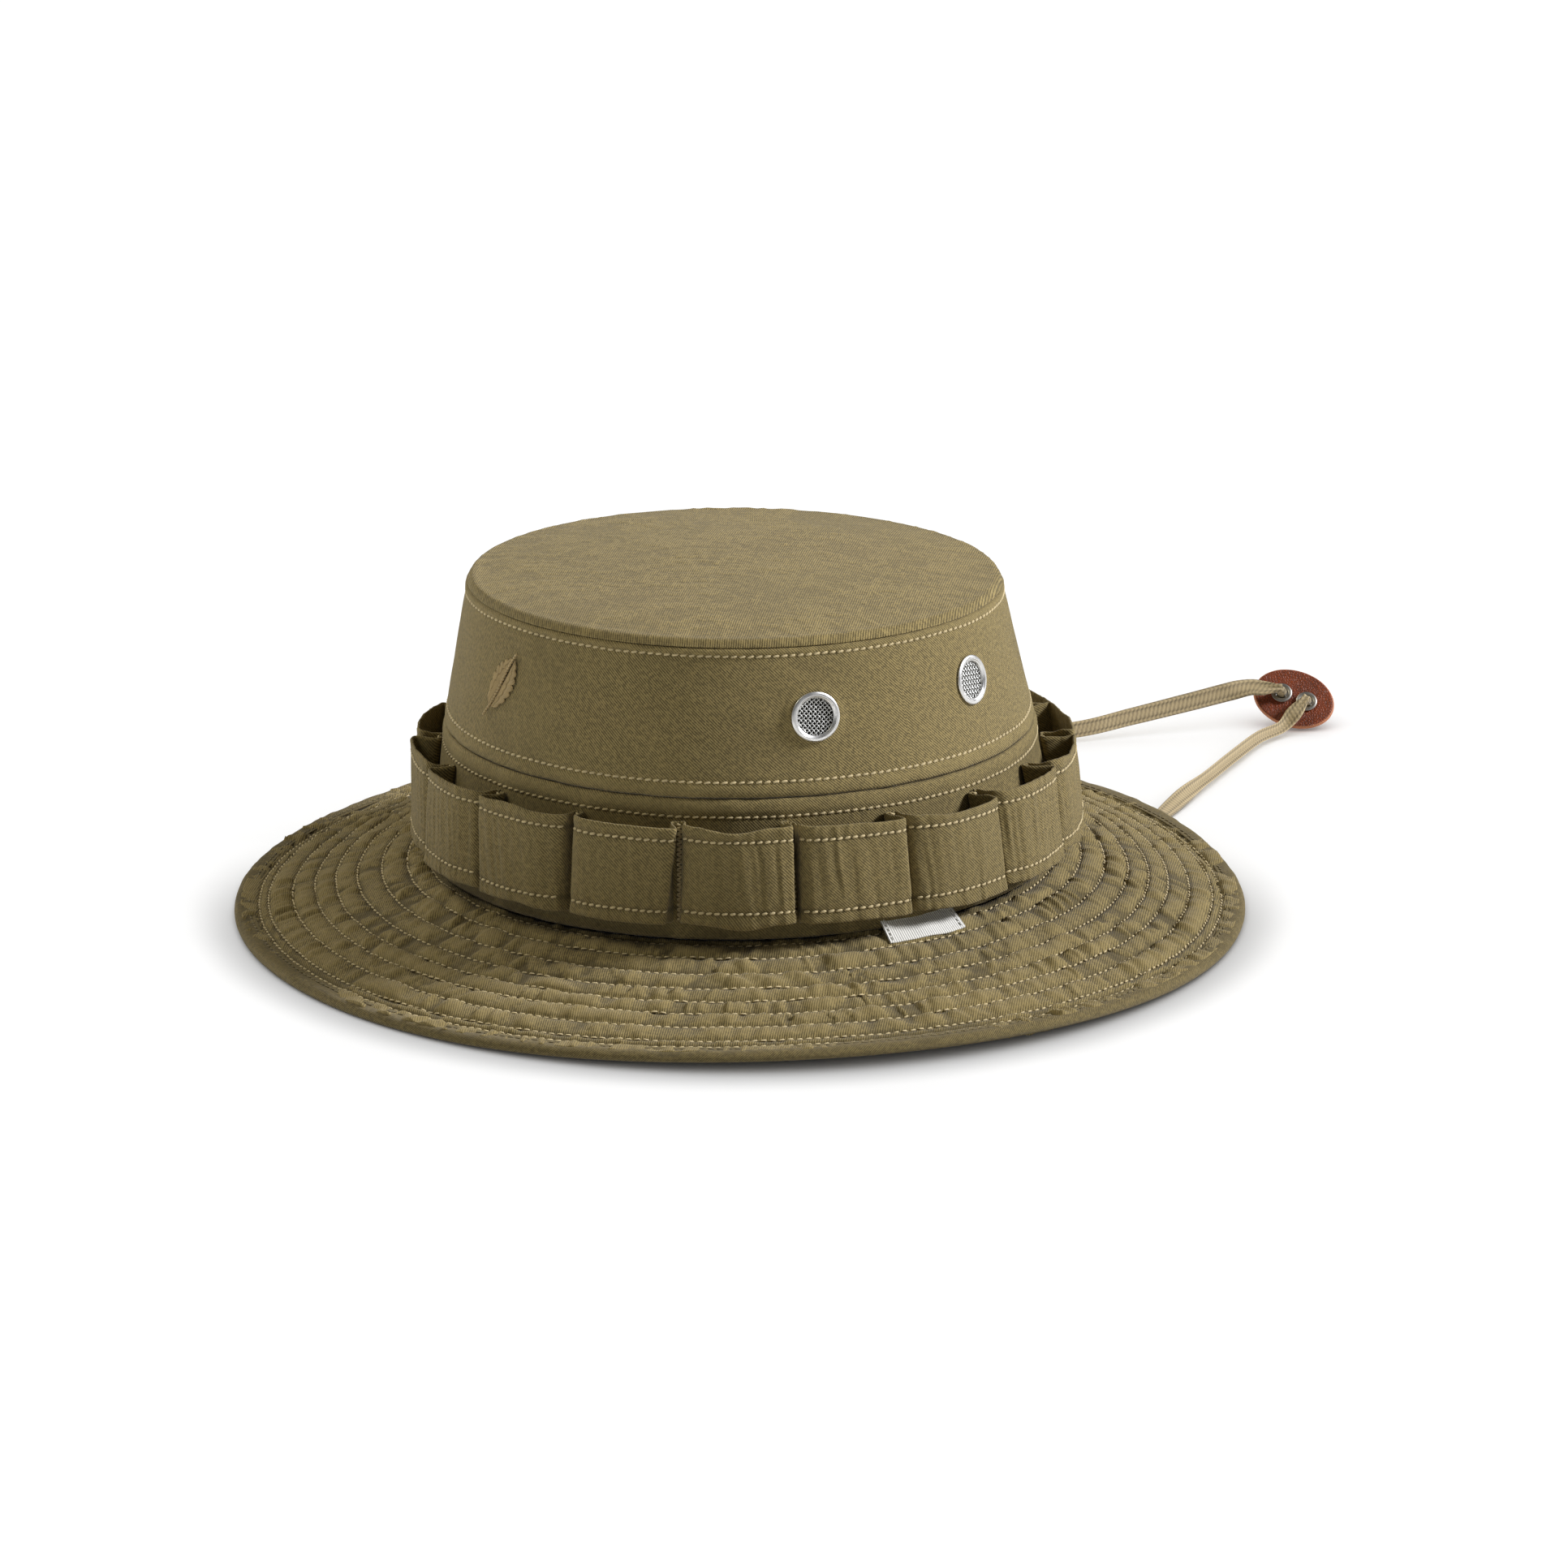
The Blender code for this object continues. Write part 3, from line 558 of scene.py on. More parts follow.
OLIVE = srgb(126, 111, 71)
# Copies of one olive cloth at different brightness, as painted light and shade: lightest on the top panel,
# darker on the loops and darkest on the binding; the brim's relief shade and light are painted stronger.
TOP_TWILL = cloth_finish("olive_twill_top", tint(OLIVE, 1.30))
WALL_TWILL = cloth_finish("olive_twill_wall", tint(OLIVE, 1.12))
LOOP_TWILL = cloth_finish("olive_twill_loops", tint(OLIVE, 1.04))
BRIM_TWILL = cloth_finish("olive_twill_brim", tint(OLIVE, 1.10), tone=1.3)
BINDING = cloth_finish("olive_binding_twill", tint(OLIVE, 0.84), 0.75)
LINING = cloth_finish("sweatband_twill", srgb(104, 94, 66), 0.9)
TAB_TAPE = cloth_finish("tab_tape", srgb(104, 94, 66), 0.9, has_uv=False)
THREAD_LIGHT = thread_finish("khaki_topstitch", srgb(202, 183, 136))
THREAD_BRIM = thread_finish("khaki_brim_stitch", srgb(208, 189, 142))
THREAD_BINDING = thread_finish("olive_binding_stitch", srgb(120, 106, 68))
THREAD_LEAF = thread_finish("tan_embroidery", srgb(172, 148, 98), 0.3)
NICKEL = metal_finish("nickel_plate", srgb(232, 231, 228), 0.28)
WIRE = metal_finish("steel_wire", srgb(214, 214, 210), 0.38, 0.3)
DARK_NICKEL = metal_finish("worn_nickel", srgb(172, 168, 160), 0.34)
BRAID = braid_finish("khaki_braid", srgb(182, 163, 124))
SLIDER_LEATHER = leather_finish("brown_leather", srgb(132, 60, 24), srgb(196, 128, 88))
RIBBON = ribbon_finish("white_ribbon", srgb(252, 250, 240))


# ---------------------------------------------------------------- hat surfaces

def crown(angle, share, out=0.0):
    bulge = CROWN_BULGE * 4.0 * share * (1.0 - share)
    half_x = mix(SEAM_HALF_X, TOP_HALF_X, share) + bulge + out
    half_y = mix(SEAM_HALF_Y, TOP_HALF_Y, share) + bulge + out
    x = CROWN_X + TOP_SHIFT_X * share + half_x * np.cos(angle)
    y = CROWN_Y + TOP_SHIFT_Y * share + half_y * np.sin(angle)
    z = mix(SEAM_Z, TOP_Z, share) + (TOP_TILT_X * x + TOP_TILT_Y * y) * share
    return np.stack(np.broadcast_arrays(x, y, z), -1)


def crown_matrix(angle, share, out=0.0):
    """Matrix at a crown point: X along the wall, Y up it, Z straight out of it."""
    step = 0.01
    point = Vector(crown(angle, share, out))
    along = (Vector(crown(angle + step, share, out)) - point).normalized()
    up = Vector(crown(angle, share + step, out)) - point
    up = (up - along * up.dot(along)).normalized()
    return Matrix.Translation(point) @ Matrix((along, up, along.cross(up))).transposed().to_4x4()


def edge_lift(angle):
    total = np.zeros_like(angle)
    for middle, half, height in EDGE_LIFTS:
        away = (np.degrees(angle) - middle + 180.0) % 360.0 - 180.0
        total += np.where(np.abs(away) < half, height * 0.5 * (1.0 + np.cos(math.pi * away / half)), 0.0)
    return total


def slope_left(share):
    rounding = (FLAT_FROM + FLAT_ROUND - share) ** 2 / (4.0 * FLAT_ROUND * FLAT_FROM)
    return np.where(share <= FLAT_FROM - FLAT_ROUND, 1.0 - share / FLAT_FROM,
                    np.where(share >= FLAT_FROM + FLAT_ROUND, 0.0, rounding))


def brim(angle, share, up=0.0):
    angle, share = np.broadcast_arrays(np.asarray(angle, float), np.asarray(share, float))
    half_x = mix(SEAM_HALF_X - SEAM_ALLOWANCE, EDGE_HALF_X, share)
    half_y = mix(SEAM_HALF_Y - SEAM_ALLOWANCE, EDGE_HALF_Y, share)
    x = CROWN_X * (1.0 - share) + half_x * np.cos(angle)
    y = CROWN_Y * (1.0 - share) + half_y * np.sin(angle)
    z = BRIM_RISE * slope_left(share) + edge_lift(angle) * share ** 2 + up
    return np.stack(np.broadcast_arrays(x, y, z), -1)


def facing(surface, angle, share):
    """Unit normals of surface(angle, share)."""
    step = 0.004
    along = surface(angle + step, share) - surface(angle - step, share)
    up = surface(angle, share + step) - surface(angle, share - step)
    return unit(np.cross(along, up))


def groove(away, width):
    return np.exp(-(away / width) ** 2)


def wall_relief(angle, share):
    """How far the upper crown wall stands out from its smooth shape: seams, puckers and soft dents."""
    above = (share - BAND_SHARE) * WALL_LENGTH
    below = (1.0 - share) * WALL_LENGTH
    out = 0.22 * MM * ripple(angle, share * 4.0, 1, 13)
    out = out + 0.10 * MM * noise(angle / TURN * 61 + share * 9.0, share * 11.0, 2, 61)
    pull = np.exp(-above / (6.0 * MM)) + 0.8 * np.exp(-below / (6.0 * MM))
    out = out + 0.20 * MM * pull * ripple(angle, share * 5.0, 3, 113)
    row = (WALL_ROW - BAND_SHARE) * WALL_LENGTH
    out = out + 0.34 * MM * np.sin(math.pi * np.clip(above / row, 0.0, 1.0))
    out = out - 0.34 * MM * groove(above - row, 0.5 * MM) - 0.38 * MM * groove(above, 0.40 * MM)
    top = (1.0 - TOP_ROW) * WALL_LENGTH
    out = out + 0.55 * MM * np.sin(math.pi * np.clip(below / top, 0.0, 1.0))
    out = out - 0.22 * MM * groove(below - top, 0.5 * MM) - 0.85 * MM * groove(below, 0.6 * MM)
    for vent, vent_share in VENTS:
        turn = (angle - math.radians(vent) + math.pi) % TURN - math.pi
        wide, high = turn * VENT_ROUND, (share - vent_share) * WALL_LENGTH
        seat = VENT_SEAT - 0.30 * MM + wide ** 2 / (2.0 * (VENT_ROUND + 1.0 * MM))
        out = mix(out, seat, 1.0 - smooth(VENT_FLANGE_R, VENT_FLANGE_R + 3.1 * MM, np.hypot(wide, high)))
    return out


def wall(angle, share):
    return crown(angle, share, wall_relief(angle, share))


def band_relief(angle, share):
    """The same for the crown's lower band."""
    below = (BAND_SHARE - share) * WALL_LENGTH
    row = (BAND_SHARE - BAND_ROW) * WALL_LENGTH
    low = share * WALL_LENGTH
    out = 0.40 * MM * ripple(angle, share * 5.0, 4, 17)
    pull = np.exp(-below / (7.0 * MM)) + np.exp(-low / (7.0 * MM))
    out = out + 0.24 * MM * pull * ripple(angle, share * 6.0, 5, 109)
    out = out + 0.36 * MM * np.sin(math.pi * np.clip(below / row, 0.0, 1.0))
    out = out - 0.34 * MM * groove(below - row, 0.5 * MM) - 0.34 * MM * groove(below, 0.40 * MM)
    return out - 0.45 * MM * groove(low, 0.6 * MM)


def band(angle, share):
    return crown(angle, share, band_relief(angle, share))


def crown_inside(angle, share):
    return crown(angle, share, -0.9 * MM)


def brim_relief(angle, share, seed, puff=1.0):
    """Quilting: puffs between the stitched rows, crossed by short slanting puckers."""
    around = angle / TURN
    edges = (0.0, *BRIM_ROWS, 1.0)
    out = 0.30 * MM * ripple(angle, share * 3.0, seed + 20, 23)
    for k, (low, high) in enumerate(zip(edges, edges[1:])):
        inside = (share >= low) & (share < high)
        t = np.clip((share - low) / (high - low), 0.0, 1.0)
        swell = np.sqrt(np.clip(4.0 * t * (1.0 - t), 0.0, 1.0))
        size = min(1.0, (high - low) / 0.11)
        cells = 210 + 14 * k
        lean = 1.1 * ripple(angle, k * 1.7, seed + 31, 9) + 0.5
        pucker = noise(around * cells + lean * t, k * 3.1 + t * 0.9, seed + k, cells)
        fold = creases(around * (cells // 2) - lean * t * 1.2, k * 2.3 + t * 0.4, seed + 50 + k, cells // 2)
        patch = 0.65 + 0.55 * ripple(angle, k * 0.9, seed + 70, 31)
        shape = 0.50 * swell + (0.70 * pucker + 1.55 * fold * patch) * (0.22 + 0.78 * swell)
        out = np.where(inside, out + shape * size * puff * MM, out)
    for row in BRIM_ROWS:
        out = out - 0.50 * MM * puff * groove((share - row) * BRIM_LENGTH, 0.60 * MM)
    return out


def brim_top(angle, share):
    join = 0.25 * MM * groove(share * BRIM_LENGTH, 1.0 * MM)
    return brim(angle, share, BRIM_THICK - 0.15 * MM + brim_relief(angle, share, 100) - join)


def brim_under(angle, share):
    return brim(angle, share, 0.75 * MM - brim_relief(angle, share, 300, 0.6))


# ---------------------------------------------------------------- crown

def tone_of(relief, scale):
    return np.clip(relief / scale, -1.0, 1.0)


def ring_shell(name, count, outer, inner, shares_out, shares_in, finish, relief=None, scale=0.5 * MM,
               **options):
    """A cloth ring between an outer and an inner surface."""
    angle = (TURN * np.arange(count) / count)[:, None]
    outer_rows = outer(angle, shares_out[None, :])
    inner_rows = inner(angle, shares_in[None, ::-1])
    points = np.concatenate([outer_rows, inner_rows], 1)
    tone = np.zeros(points.shape[:2])
    if relief is not None:
        tone[:, :len(shares_out)] = tone_of(relief(angle, shares_out[None, :]), scale)
    return lattice(name, points, finish, tone=tone, **options)


def make_top_panel():
    """Domed top panel of crinkled cloth, its rim rolled into the seam."""
    count = 210
    side = np.linspace(-1.0, 1.0, count)
    u, v = np.meshgrid(side, side, indexing="ij")
    x, y = u * np.sqrt(1.0 - v * v / 2.0), v * np.sqrt(1.0 - u * u / 2.0)
    share = np.clip(np.hypot(x, y), 0.0, 1.0)
    angle = np.arctan2(y, x)
    rim = crown(angle, np.ones_like(angle), 0.15 * MM)
    centre = np.array((CROWN_X + TOP_SHIFT_X, CROWN_Y + TOP_SHIFT_Y))
    flat = centre + (rim[..., :2] - centre) * share[..., None]
    px, py = flat[..., 0] / MM, flat[..., 1] / MM
    warp = 3.0 * noise(px / 21.0, py / 21.0, 61)
    lean_x, lean_y = px * 0.80 + py * 0.60, -px * 0.60 + py * 0.80
    fine = creases(lean_x / 8.0 + warp * 0.25, lean_y / 2.9 + warp, 62)
    finer = creases(lean_x / 5.0 - warp * 0.2, lean_y / 1.9 - warp * 0.7, 63)
    radial = creases(angle / TURN * 92, share * 5.0 + warp * 0.3, 64, 92)
    crinkle = mix(0.30 * fine + 0.24 * finer, 0.34 * radial + 0.14 * finer, smooth(0.72, 0.97, share)) * MM
    sway = 0.6 * MM * noise(px / 46.0, py / 46.0, 65) * (1.0 - smooth(0.75, 1.0, share))
    crinkle = crinkle * (0.55 + 0.45 * noise(px / 17.0, py / 17.0, 66)) * (1.0 - 0.6 * smooth(0.97, 1.0, share))
    down = (1.0 - share) * 80.0 * MM
    roll = 1.5 * MM * groove(down, 0.7 * MM) - 0.25 * MM * groove(down - 2.0 * MM, 1.4 * MM)
    seam = TOP_Z + TOP_TILT_X * flat[..., 0] + TOP_TILT_Y * flat[..., 1]
    z = seam + 1.5 * MM + DOME * (1.0 - share ** 2) + sway + crinkle - roll
    top = np.concatenate([flat, z[..., None]], -1)
    under = top.copy()
    under[..., 2] = seam - 0.3 * MM + DOME * (1.0 - share ** 2) + sway
    # Painted shade in the crinkles' hollows and painted light on their crests, stored as tone.
    tone = tone_of(crinkle - 0.14 * MM, 0.26 * MM)
    data = bpy.data.meshes.new("top_cloth")
    i, j = np.meshgrid(np.arange(count - 1), np.arange(count - 1), indexing="ij")
    first = (i * count + j).ravel()
    quads = np.stack([first, first + count, first + count + 1, first + 1], -1)
    lower = quads[:, ::-1] + count * count
    line = np.arange(count)
    border = np.concatenate([line * count, (count - 1) * count + line[1:], line[::-1][1:] * count + count - 1,
                             line[::-1][1:-1]])
    after = np.roll(border, -1)
    skirt = np.stack([after, border, border + count * count, after + count * count], -1)
    faces = np.concatenate([quads, lower, skirt])
    points = np.concatenate([top.reshape(-1, 3), under.reshape(-1, 3)])
    data.from_pydata(points.tolist(), [], faces.tolist())
    set_uv(data, points[faces][..., :2] / MM)
    set_tone(data, np.concatenate([tone.ravel(), np.zeros(count * count)]))
    rework(data)
    dress(add_piece("top_cloth", data, TOP_TWILL), nodes=("top_panel",))


def make_wall():
    """Upper crown wall with its four vent holes."""
    frames = [crown_matrix(math.radians(a), s) for a, s in VENTS]
    outer_rows = np.linspace(BAND_SHARE + 0.0005, 0.9995, 62)
    inner_rows = np.concatenate([
        np.linspace(0.507, 0.69, 8), np.linspace(0.70, 0.83, 16), np.linspace(0.845, 0.998, 7)])
    deep = 6.0 * MM                   # further than this along a vent's axis is another part of the wall

    def near_vent(points):
        hit = np.zeros(len(points), bool)
        for matrix in frames:
            local = moved(points, matrix.inverted())
            hit |= (np.hypot(local[:, 0], local[:, 1]) < VENT_HOLE_R) & (np.abs(local[:, 2]) < deep)
        return hit

    def line_holes(mesh):
        """Round each hole's ragged edges and join them through the wall."""
        bmesh.ops.delete(mesh, geom=[v for v in mesh.verts if not v.link_faces], context="VERTS")
        for matrix in frames:
            back = matrix.inverted()
            rim = [v for v in mesh.verts if v.is_boundary
                   and (back @ v.co).xy.length < 9.0 * MM and abs((back @ v.co).z) < deep]
            for v in rim:
                local = back @ v.co
                local.xy = local.xy.normalized() * VENT_HOLE_R
                v.co = matrix @ local
            edges = [e for e in mesh.edges if e.is_boundary and all(v in rim for v in e.verts)]
            bmesh.ops.bridge_loops(mesh, edges=edges)
        for face in mesh.faces:
            face.smooth = True

    shell = ring_shell("crown_wall_cloth", 640, wall, crown_inside, outer_rows, inner_rows, WALL_TWILL,
                       wall_relief, drop=near_vent)
    rework(shell.data, line_holes)
    dress(shell, nodes=("crown_wall",))


def make_crown_rest():
    """Lower band, the tapes over the seams inside, and the sweatband."""
    rows = np.linspace(0.0045, BAND_SHARE - 0.0005, 52)
    few = np.linspace(0.0045, BAND_SHARE - 0.0015, 9)
    # The tone is the band's relief, lowered towards the brim: painted shade on the band under the loops.
    shell = ring_shell("crown_band_cloth", 560, band, crown_inside, rows, few, WALL_TWILL,
                       lambda a, s: band_relief(a, s) - 0.45 * MM * (1.0 - smooth(0.06, 0.30, s)))
    dress(shell, nodes=("crown_band",))
    for name, low, high, inner, outer in (
            ("band_seam_tape", 0.42, 0.58, -1.9, -1.3), ("top_seam_tape", 0.93, 0.995, -1.9, -1.3),
            ("sweatband", 0.02, 0.36, -2.3, -1.3)):
        levels = np.linspace(low, high, 12)

        def relief(angle, share, seed=len(name)):
            return (0.15 * MM * ripple(angle, share * 14.0, seed, 97)
                    + 0.2 * MM * ripple(angle, share * 6, seed, 19))

        def inside(angle, share, out=inner * MM, bumps=relief):
            return crown(angle, share, out + bumps(angle, share))

        def outside(angle, share, out=outer * MM):
            return crown(angle, share, out + 0.0 * angle)

        strip = ring_shell(name + "_cloth", 300, inside, outside, levels, levels[::3], LINING, relief, 0.3 * MM)
        dress(strip, nodes=(name,))


# ---------------------------------------------------------------- brim

def make_brim():
    """Quilted upper ply with the interlining, and the lower ply; both end inside the binding."""
    last = 0.972
    few, coarse = np.linspace(0.0, last, 9), np.linspace(0.0, last, 5)
    edges, near = (0.0, *BRIM_ROWS, last), 0.55 * MM / BRIM_LENGTH
    fine = [(low, low + near, *np.linspace(low + 0.25 * (high - low), high - 0.25 * (high - low), 3),
             high - near) for low, high in zip(edges, edges[1:])]
    fine = np.concatenate([*fine, (last,)])
    # The upper ply's tone is its quilting relief lowered throughout: painted shade over the brim and in its
    # hollows, painted light left on the highest puffs.
    upper = ring_shell("brim_upper_cloth", 1400, brim_top, lambda a, s: brim(a, s, 1.50 * MM), fine, coarse,
                       BRIM_TWILL, lambda a, s: brim_relief(a, s, 100) - 0.42 * MM, 0.55 * MM, flat_uv=True)
    dress(upper, nodes=("brim_upper_ply", "brim_interlining"))
    lower = ring_shell("brim_lower_cloth", 900, lambda a, s: brim(a, s, 1.46 * MM), brim_under, few, fine,
                       BRIM_TWILL, flat_uv=True)
    dress(lower, nodes=("brim_lower_ply",))


# The folded tape's section: (share of the brim's width, mm up), round its outside and back along its inside.
BINDING_TOP = (
    (0.9065, 2.72), (0.905, 2.95), (0.9062, 3.12), (0.91, 3.20), (0.918, 3.22), (0.927, 3.08),
    (0.936, 3.24), (0.948, 3.34), (0.96, 3.36), (0.972, 3.32), (0.983, 3.12), (0.992, 2.76),
    (0.9985, 2.28), (1.0025, 1.72), (1.003, 1.20), (1.00, 0.72), (0.994, 0.34), (0.986, 0.12),
    (0.974, 0.02), (0.96, 0.00), (0.945, 0.00), (0.927, 0.00), (0.915, 0.00), (0.906, 0.02),
    (0.9052, 0.16), (0.9066, 0.30),
)
BINDING_INSIDE = (
    (0.93, 0.36), (0.97, 0.40), (0.988, 0.60), (0.9955, 1.2), (0.9945, 1.8), (0.985, 2.6), (0.965, 2.88),
    (0.93, 2.80),
)


def binding_up(angle, share, up):
    """Height of a point of the binding, whose upper side is a little puckered."""
    upper = smooth(0.8, 2.6, up)
    pucker = 0.20 * ripple(angle, share * 20.0, 401, 260) + 0.16 * ripple(angle, share * 9.0, 402, 90)
    sway = 0.22 * ripple(angle, 0.5, 403, 21)
    return up * MM + (pucker * smooth(0.905, 0.93, share) + sway) * upper * MM


def make_binding():
    section = np.array(BINDING_TOP + BINDING_INSIDE)
    angle = (TURN * np.arange(760) / 760)[:, None]
    share, up = section[None, :, 0], section[None, :, 1]
    wander = 0.0030 * ripple(angle, 0.5, 404, 37) * (share < 0.92)
    height = binding_up(angle, share, up)
    points = brim(angle, share + wander, height)
    tone = np.zeros(points.shape[:2])
    outside = slice(0, len(BINDING_TOP))
    # Painted light on the binding's puckers and painted shade between them, stored as tone.
    tone[:, outside] = tone_of(height[:, outside] - up[:, outside] * MM, 0.45 * MM)
    tone[:, 12:15] += 0.25            # lighter along the fold at the very edge
    dress(lattice("brim_binding_cloth", points, BINDING, tone=tone), nodes=("brim_binding",))


# ---------------------------------------------------------------- foliage loops

class Loop:
    """One loop of the band: a strip folded out between two bartacks, a little out of true."""

    def __init__(self, number):
        self.number = number
        self.first = LOOP_START + 360.0 / LOOPS * number
        self.last = self.first + 360.0 / LOOPS

        def pick(k):
            return float(noise(number * 1.37 + 0.5, k * 2.1 + 0.3, 500))

        self.sharp_left, self.sharp_right = LOOP_ENDS.get(number, (pick(8) > 0.0, pick(9) > -0.3))
        self.skew_left, self.skew_right = LOOP_SKEWS.get(number, (0.9 * pick(2), 0.9 * pick(3)))
        self.puff, self.flare, self.drop = 0.8 * pick(4), 0.8 * pick(5), 0.006 * pick(6)
        middle = math.radians((self.first + self.last) / 2.0 - LOOP_FULL_SIDE)
        self.out = LOOP_FACE_OUT + LOOP_FACE_SWAY * math.cos(middle)

    def end_plan(self, tack, sign, out, sharp, pull):
        """(degrees, out) from a bartack to the face: a sharp end folds back over it, a soft end slopes."""
        if sharp:
            steps = ((0.10, 0.0, LOOP_TAB), (0.9, 0.0, LOOP_TAB), (1.45, 0.0, LOOP_TAB + 0.2 * MM),
                     (1.50, 0.0, LOOP_TAB + 1.6 * MM), (1.00, 0.6, out * 0.60), (0.45, 1.0, out - 1.0 * MM),
                     (0.42, 1.0, out - 0.25 * MM), (1.00, 1.0, out + 0.15 * MM))
        else:
            steps = ((0.10, 0.0, LOOP_TAB), (0.7, 0.0, LOOP_TAB), (0.95, 0.0, LOOP_TAB + 0.3 * MM),
                     (1.00, 0.3, LOOP_TAB + 1.5 * MM), (0.95, 0.6, out * 0.50), (1.15, 0.8, out * 0.74),
                     (2.10, 1.0, out * 0.89), (3.60, 1.0, out * 0.965))
        return [(tack + sign * turn + pull * share, reach) for turn, share, reach in steps]

    def plan(self, height):
        """(degrees, out) along the strip, at a share of the loop's height."""
        out = self.out - LOOP_CLOTH / 2.0 + (LOOP_FACE_RISE + self.flare * MM) * (height - 0.5)
        left = self.end_plan(self.first, 1.0, out, self.sharp_left, self.skew_left * (height - 0.75))
        right = self.end_plan(self.last, -1.0, out, self.sharp_right, self.skew_right * (height - 0.75))
        middle, bulge = (self.first + self.last) / 2.0, (0.5 + self.puff) * MM
        face = [(mix(self.first, middle, 0.60), out + bulge * 0.7), (middle, out + bulge),
                (mix(self.last, middle, 0.60), out + bulge * 0.7)]
        return left + face + right[::-1]

    def strip(self, count, heights, outward=0.0):
        """Points of the strip's middle surface, or off it by outward: count along it, one for each height."""
        columns = []
        for height in heights:
            plan = np.array([(math.radians(a) * LOOP_ROUND, out) for a, out in self.plan(float(height))])
            for _ in range(2):        # round the plan's corners twice
                cut = np.empty((2 * len(plan) - 2, 2))
                cut[0::2] = plan[:-1] * 0.75 + plan[1:] * 0.25
                cut[1::2] = plan[:-1] * 0.25 + plan[1:] * 0.75
                plan = np.concatenate([plan[:1], cut, plan[-1:]])
            length = run_along(plan)
            where = np.linspace(0.0, length[-1], count)
            line = np.stack([np.interp(where, length, plan[:, k]) for k in (0, 1)], 1)
            ahead = unit(np.gradient(line, axis=0))
            normal = np.stack([-ahead[:, 1], ahead[:, 0]], 1)
            face = smooth(0.35, 0.75, line[:, 1] / line[:, 1].max())
            run, n = where / MM, self.number
            tall = height * LOOP_TALL
            relief = 0.20 * noise(run / 1.25 + 0.35 * noise(tall / 9.0, run / 9.0, n), tall / 16.0, 510 + n)
            relief = relief + 0.30 * noise(run / 11.0, tall / 13.0, 540 + n) * face
            for hem in LOOP_HEMS:
                relief = relief - 0.30 * groove((height - hem) * LOOP_TALL, 0.55)
            edge = smooth(0.87, 1.0, height) + 1.0 - smooth(0.0, 0.14, height)
            relief = relief + 0.25 * edge * (0.6 + 0.6 * noise(run / 3.1, height * 3.0, 570 + n))
            line = line + normal * ((relief[:, None] * face[:, None]) * MM + outward)
            rise = self.drop + 0.016 * noise(run / 12.0, 0.5, 590 + n) * edge * face + 0.007 * face
            share = mix(LOOP_LOW, LOOP_HIGH, height) + rise
            columns.append(crown(line[:, 0] / LOOP_ROUND, share, line[:, 1]))
        return np.stack(columns, 1)


def make_loops():
    """The loops' cloth, the stitches along their hems and the bartacks between them."""
    runs, tacks = [], []
    half = LOOP_CLOTH / 2.0
    heights = np.concatenate([[0.0], np.linspace(0.015, 0.985, 34), [1.0]])
    tall = heights[None, :] * LOOP_TALL
    for number in range(LOOPS):
        loop = Loop(number)
        layers = []
        for levels, out in ((heights, half), (np.array((1.0, 0.96, 0.6, 0.3, 0.04, 0.0)), -half)):
            layer = loop.strip(LOOP_COLUMNS, levels, out)
            for end in (0, -1):       # the cloth's raw edges are a little thinner
                layer[:, end] = loop.strip(LOOP_COLUMNS, levels[[end]], out * 0.5)[:, 0]
            layers.append(layer)
        points = np.concatenate(layers, 1)
        tone = np.zeros(points.shape[:2])
        outer = tone[:, :len(heights)]
        # Painted shade in the hem grooves, painted light on the raised top and bottom edges, and a random tone,
        # stored as the outer face's tone.
        for hem in LOOP_HEMS:
            outer -= groove(tall - hem * LOOP_TALL, 0.8)
        outer += 0.45 * (groove(tall - LOOP_TALL, 0.7) + groove(tall, 0.7))
        outer += 0.25 * noise(np.arange(LOOP_COLUMNS)[:, None] * 0.31, heights[None, :] * 2.0, 600 + number)
        piece = lattice(f"loop_cloth_{number + 1:02d}", points, LOOP_TWILL, wrap=False, tone=tone)
        dress(piece, nodes=(f"foliage_loop_{number + 1:02d}",))
        for hem in LOOP_HEMS:
            line = loop.strip(160, [hem], half + 0.10 * MM)[:, 0]
            over = loop.strip(160, [hem], half + 1.0 * MM)[:, 0]
            face = slice(26 if loop.sharp_left else 22, 134 if loop.sharp_right else 138)
            runs.append(sewn_row(line[face], unit((over - line)[face]), 2.35 * MM, 0.74, number, closed=False))
        middle = math.radians(loop.first)
        steps = 38
        share = np.linspace(LOOP_LOW + 0.008, LOOP_HIGH - 0.006, steps + 1)
        sway = np.where(np.arange(steps + 1) % 2 == 0, -1.0, 1.0) * 0.85 / 95.0
        zigzag = crown(middle + sway, share, 1.45 * MM)
        normal = facing(crown, np.full(steps, middle), (share[1:] + share[:-1]) / 2.0)
        tacks.append((zigzag[:-1], zigzag[1:], normal))
    dress(thread_piece("loop_hem_stitches", runs, THREAD_LIGHT))
    dress(thread_piece("loop_bartacks", tacks, THREAD_LIGHT, 0.80 * MM, 0.12 * MM))


# ---------------------------------------------------------------- stitched rows

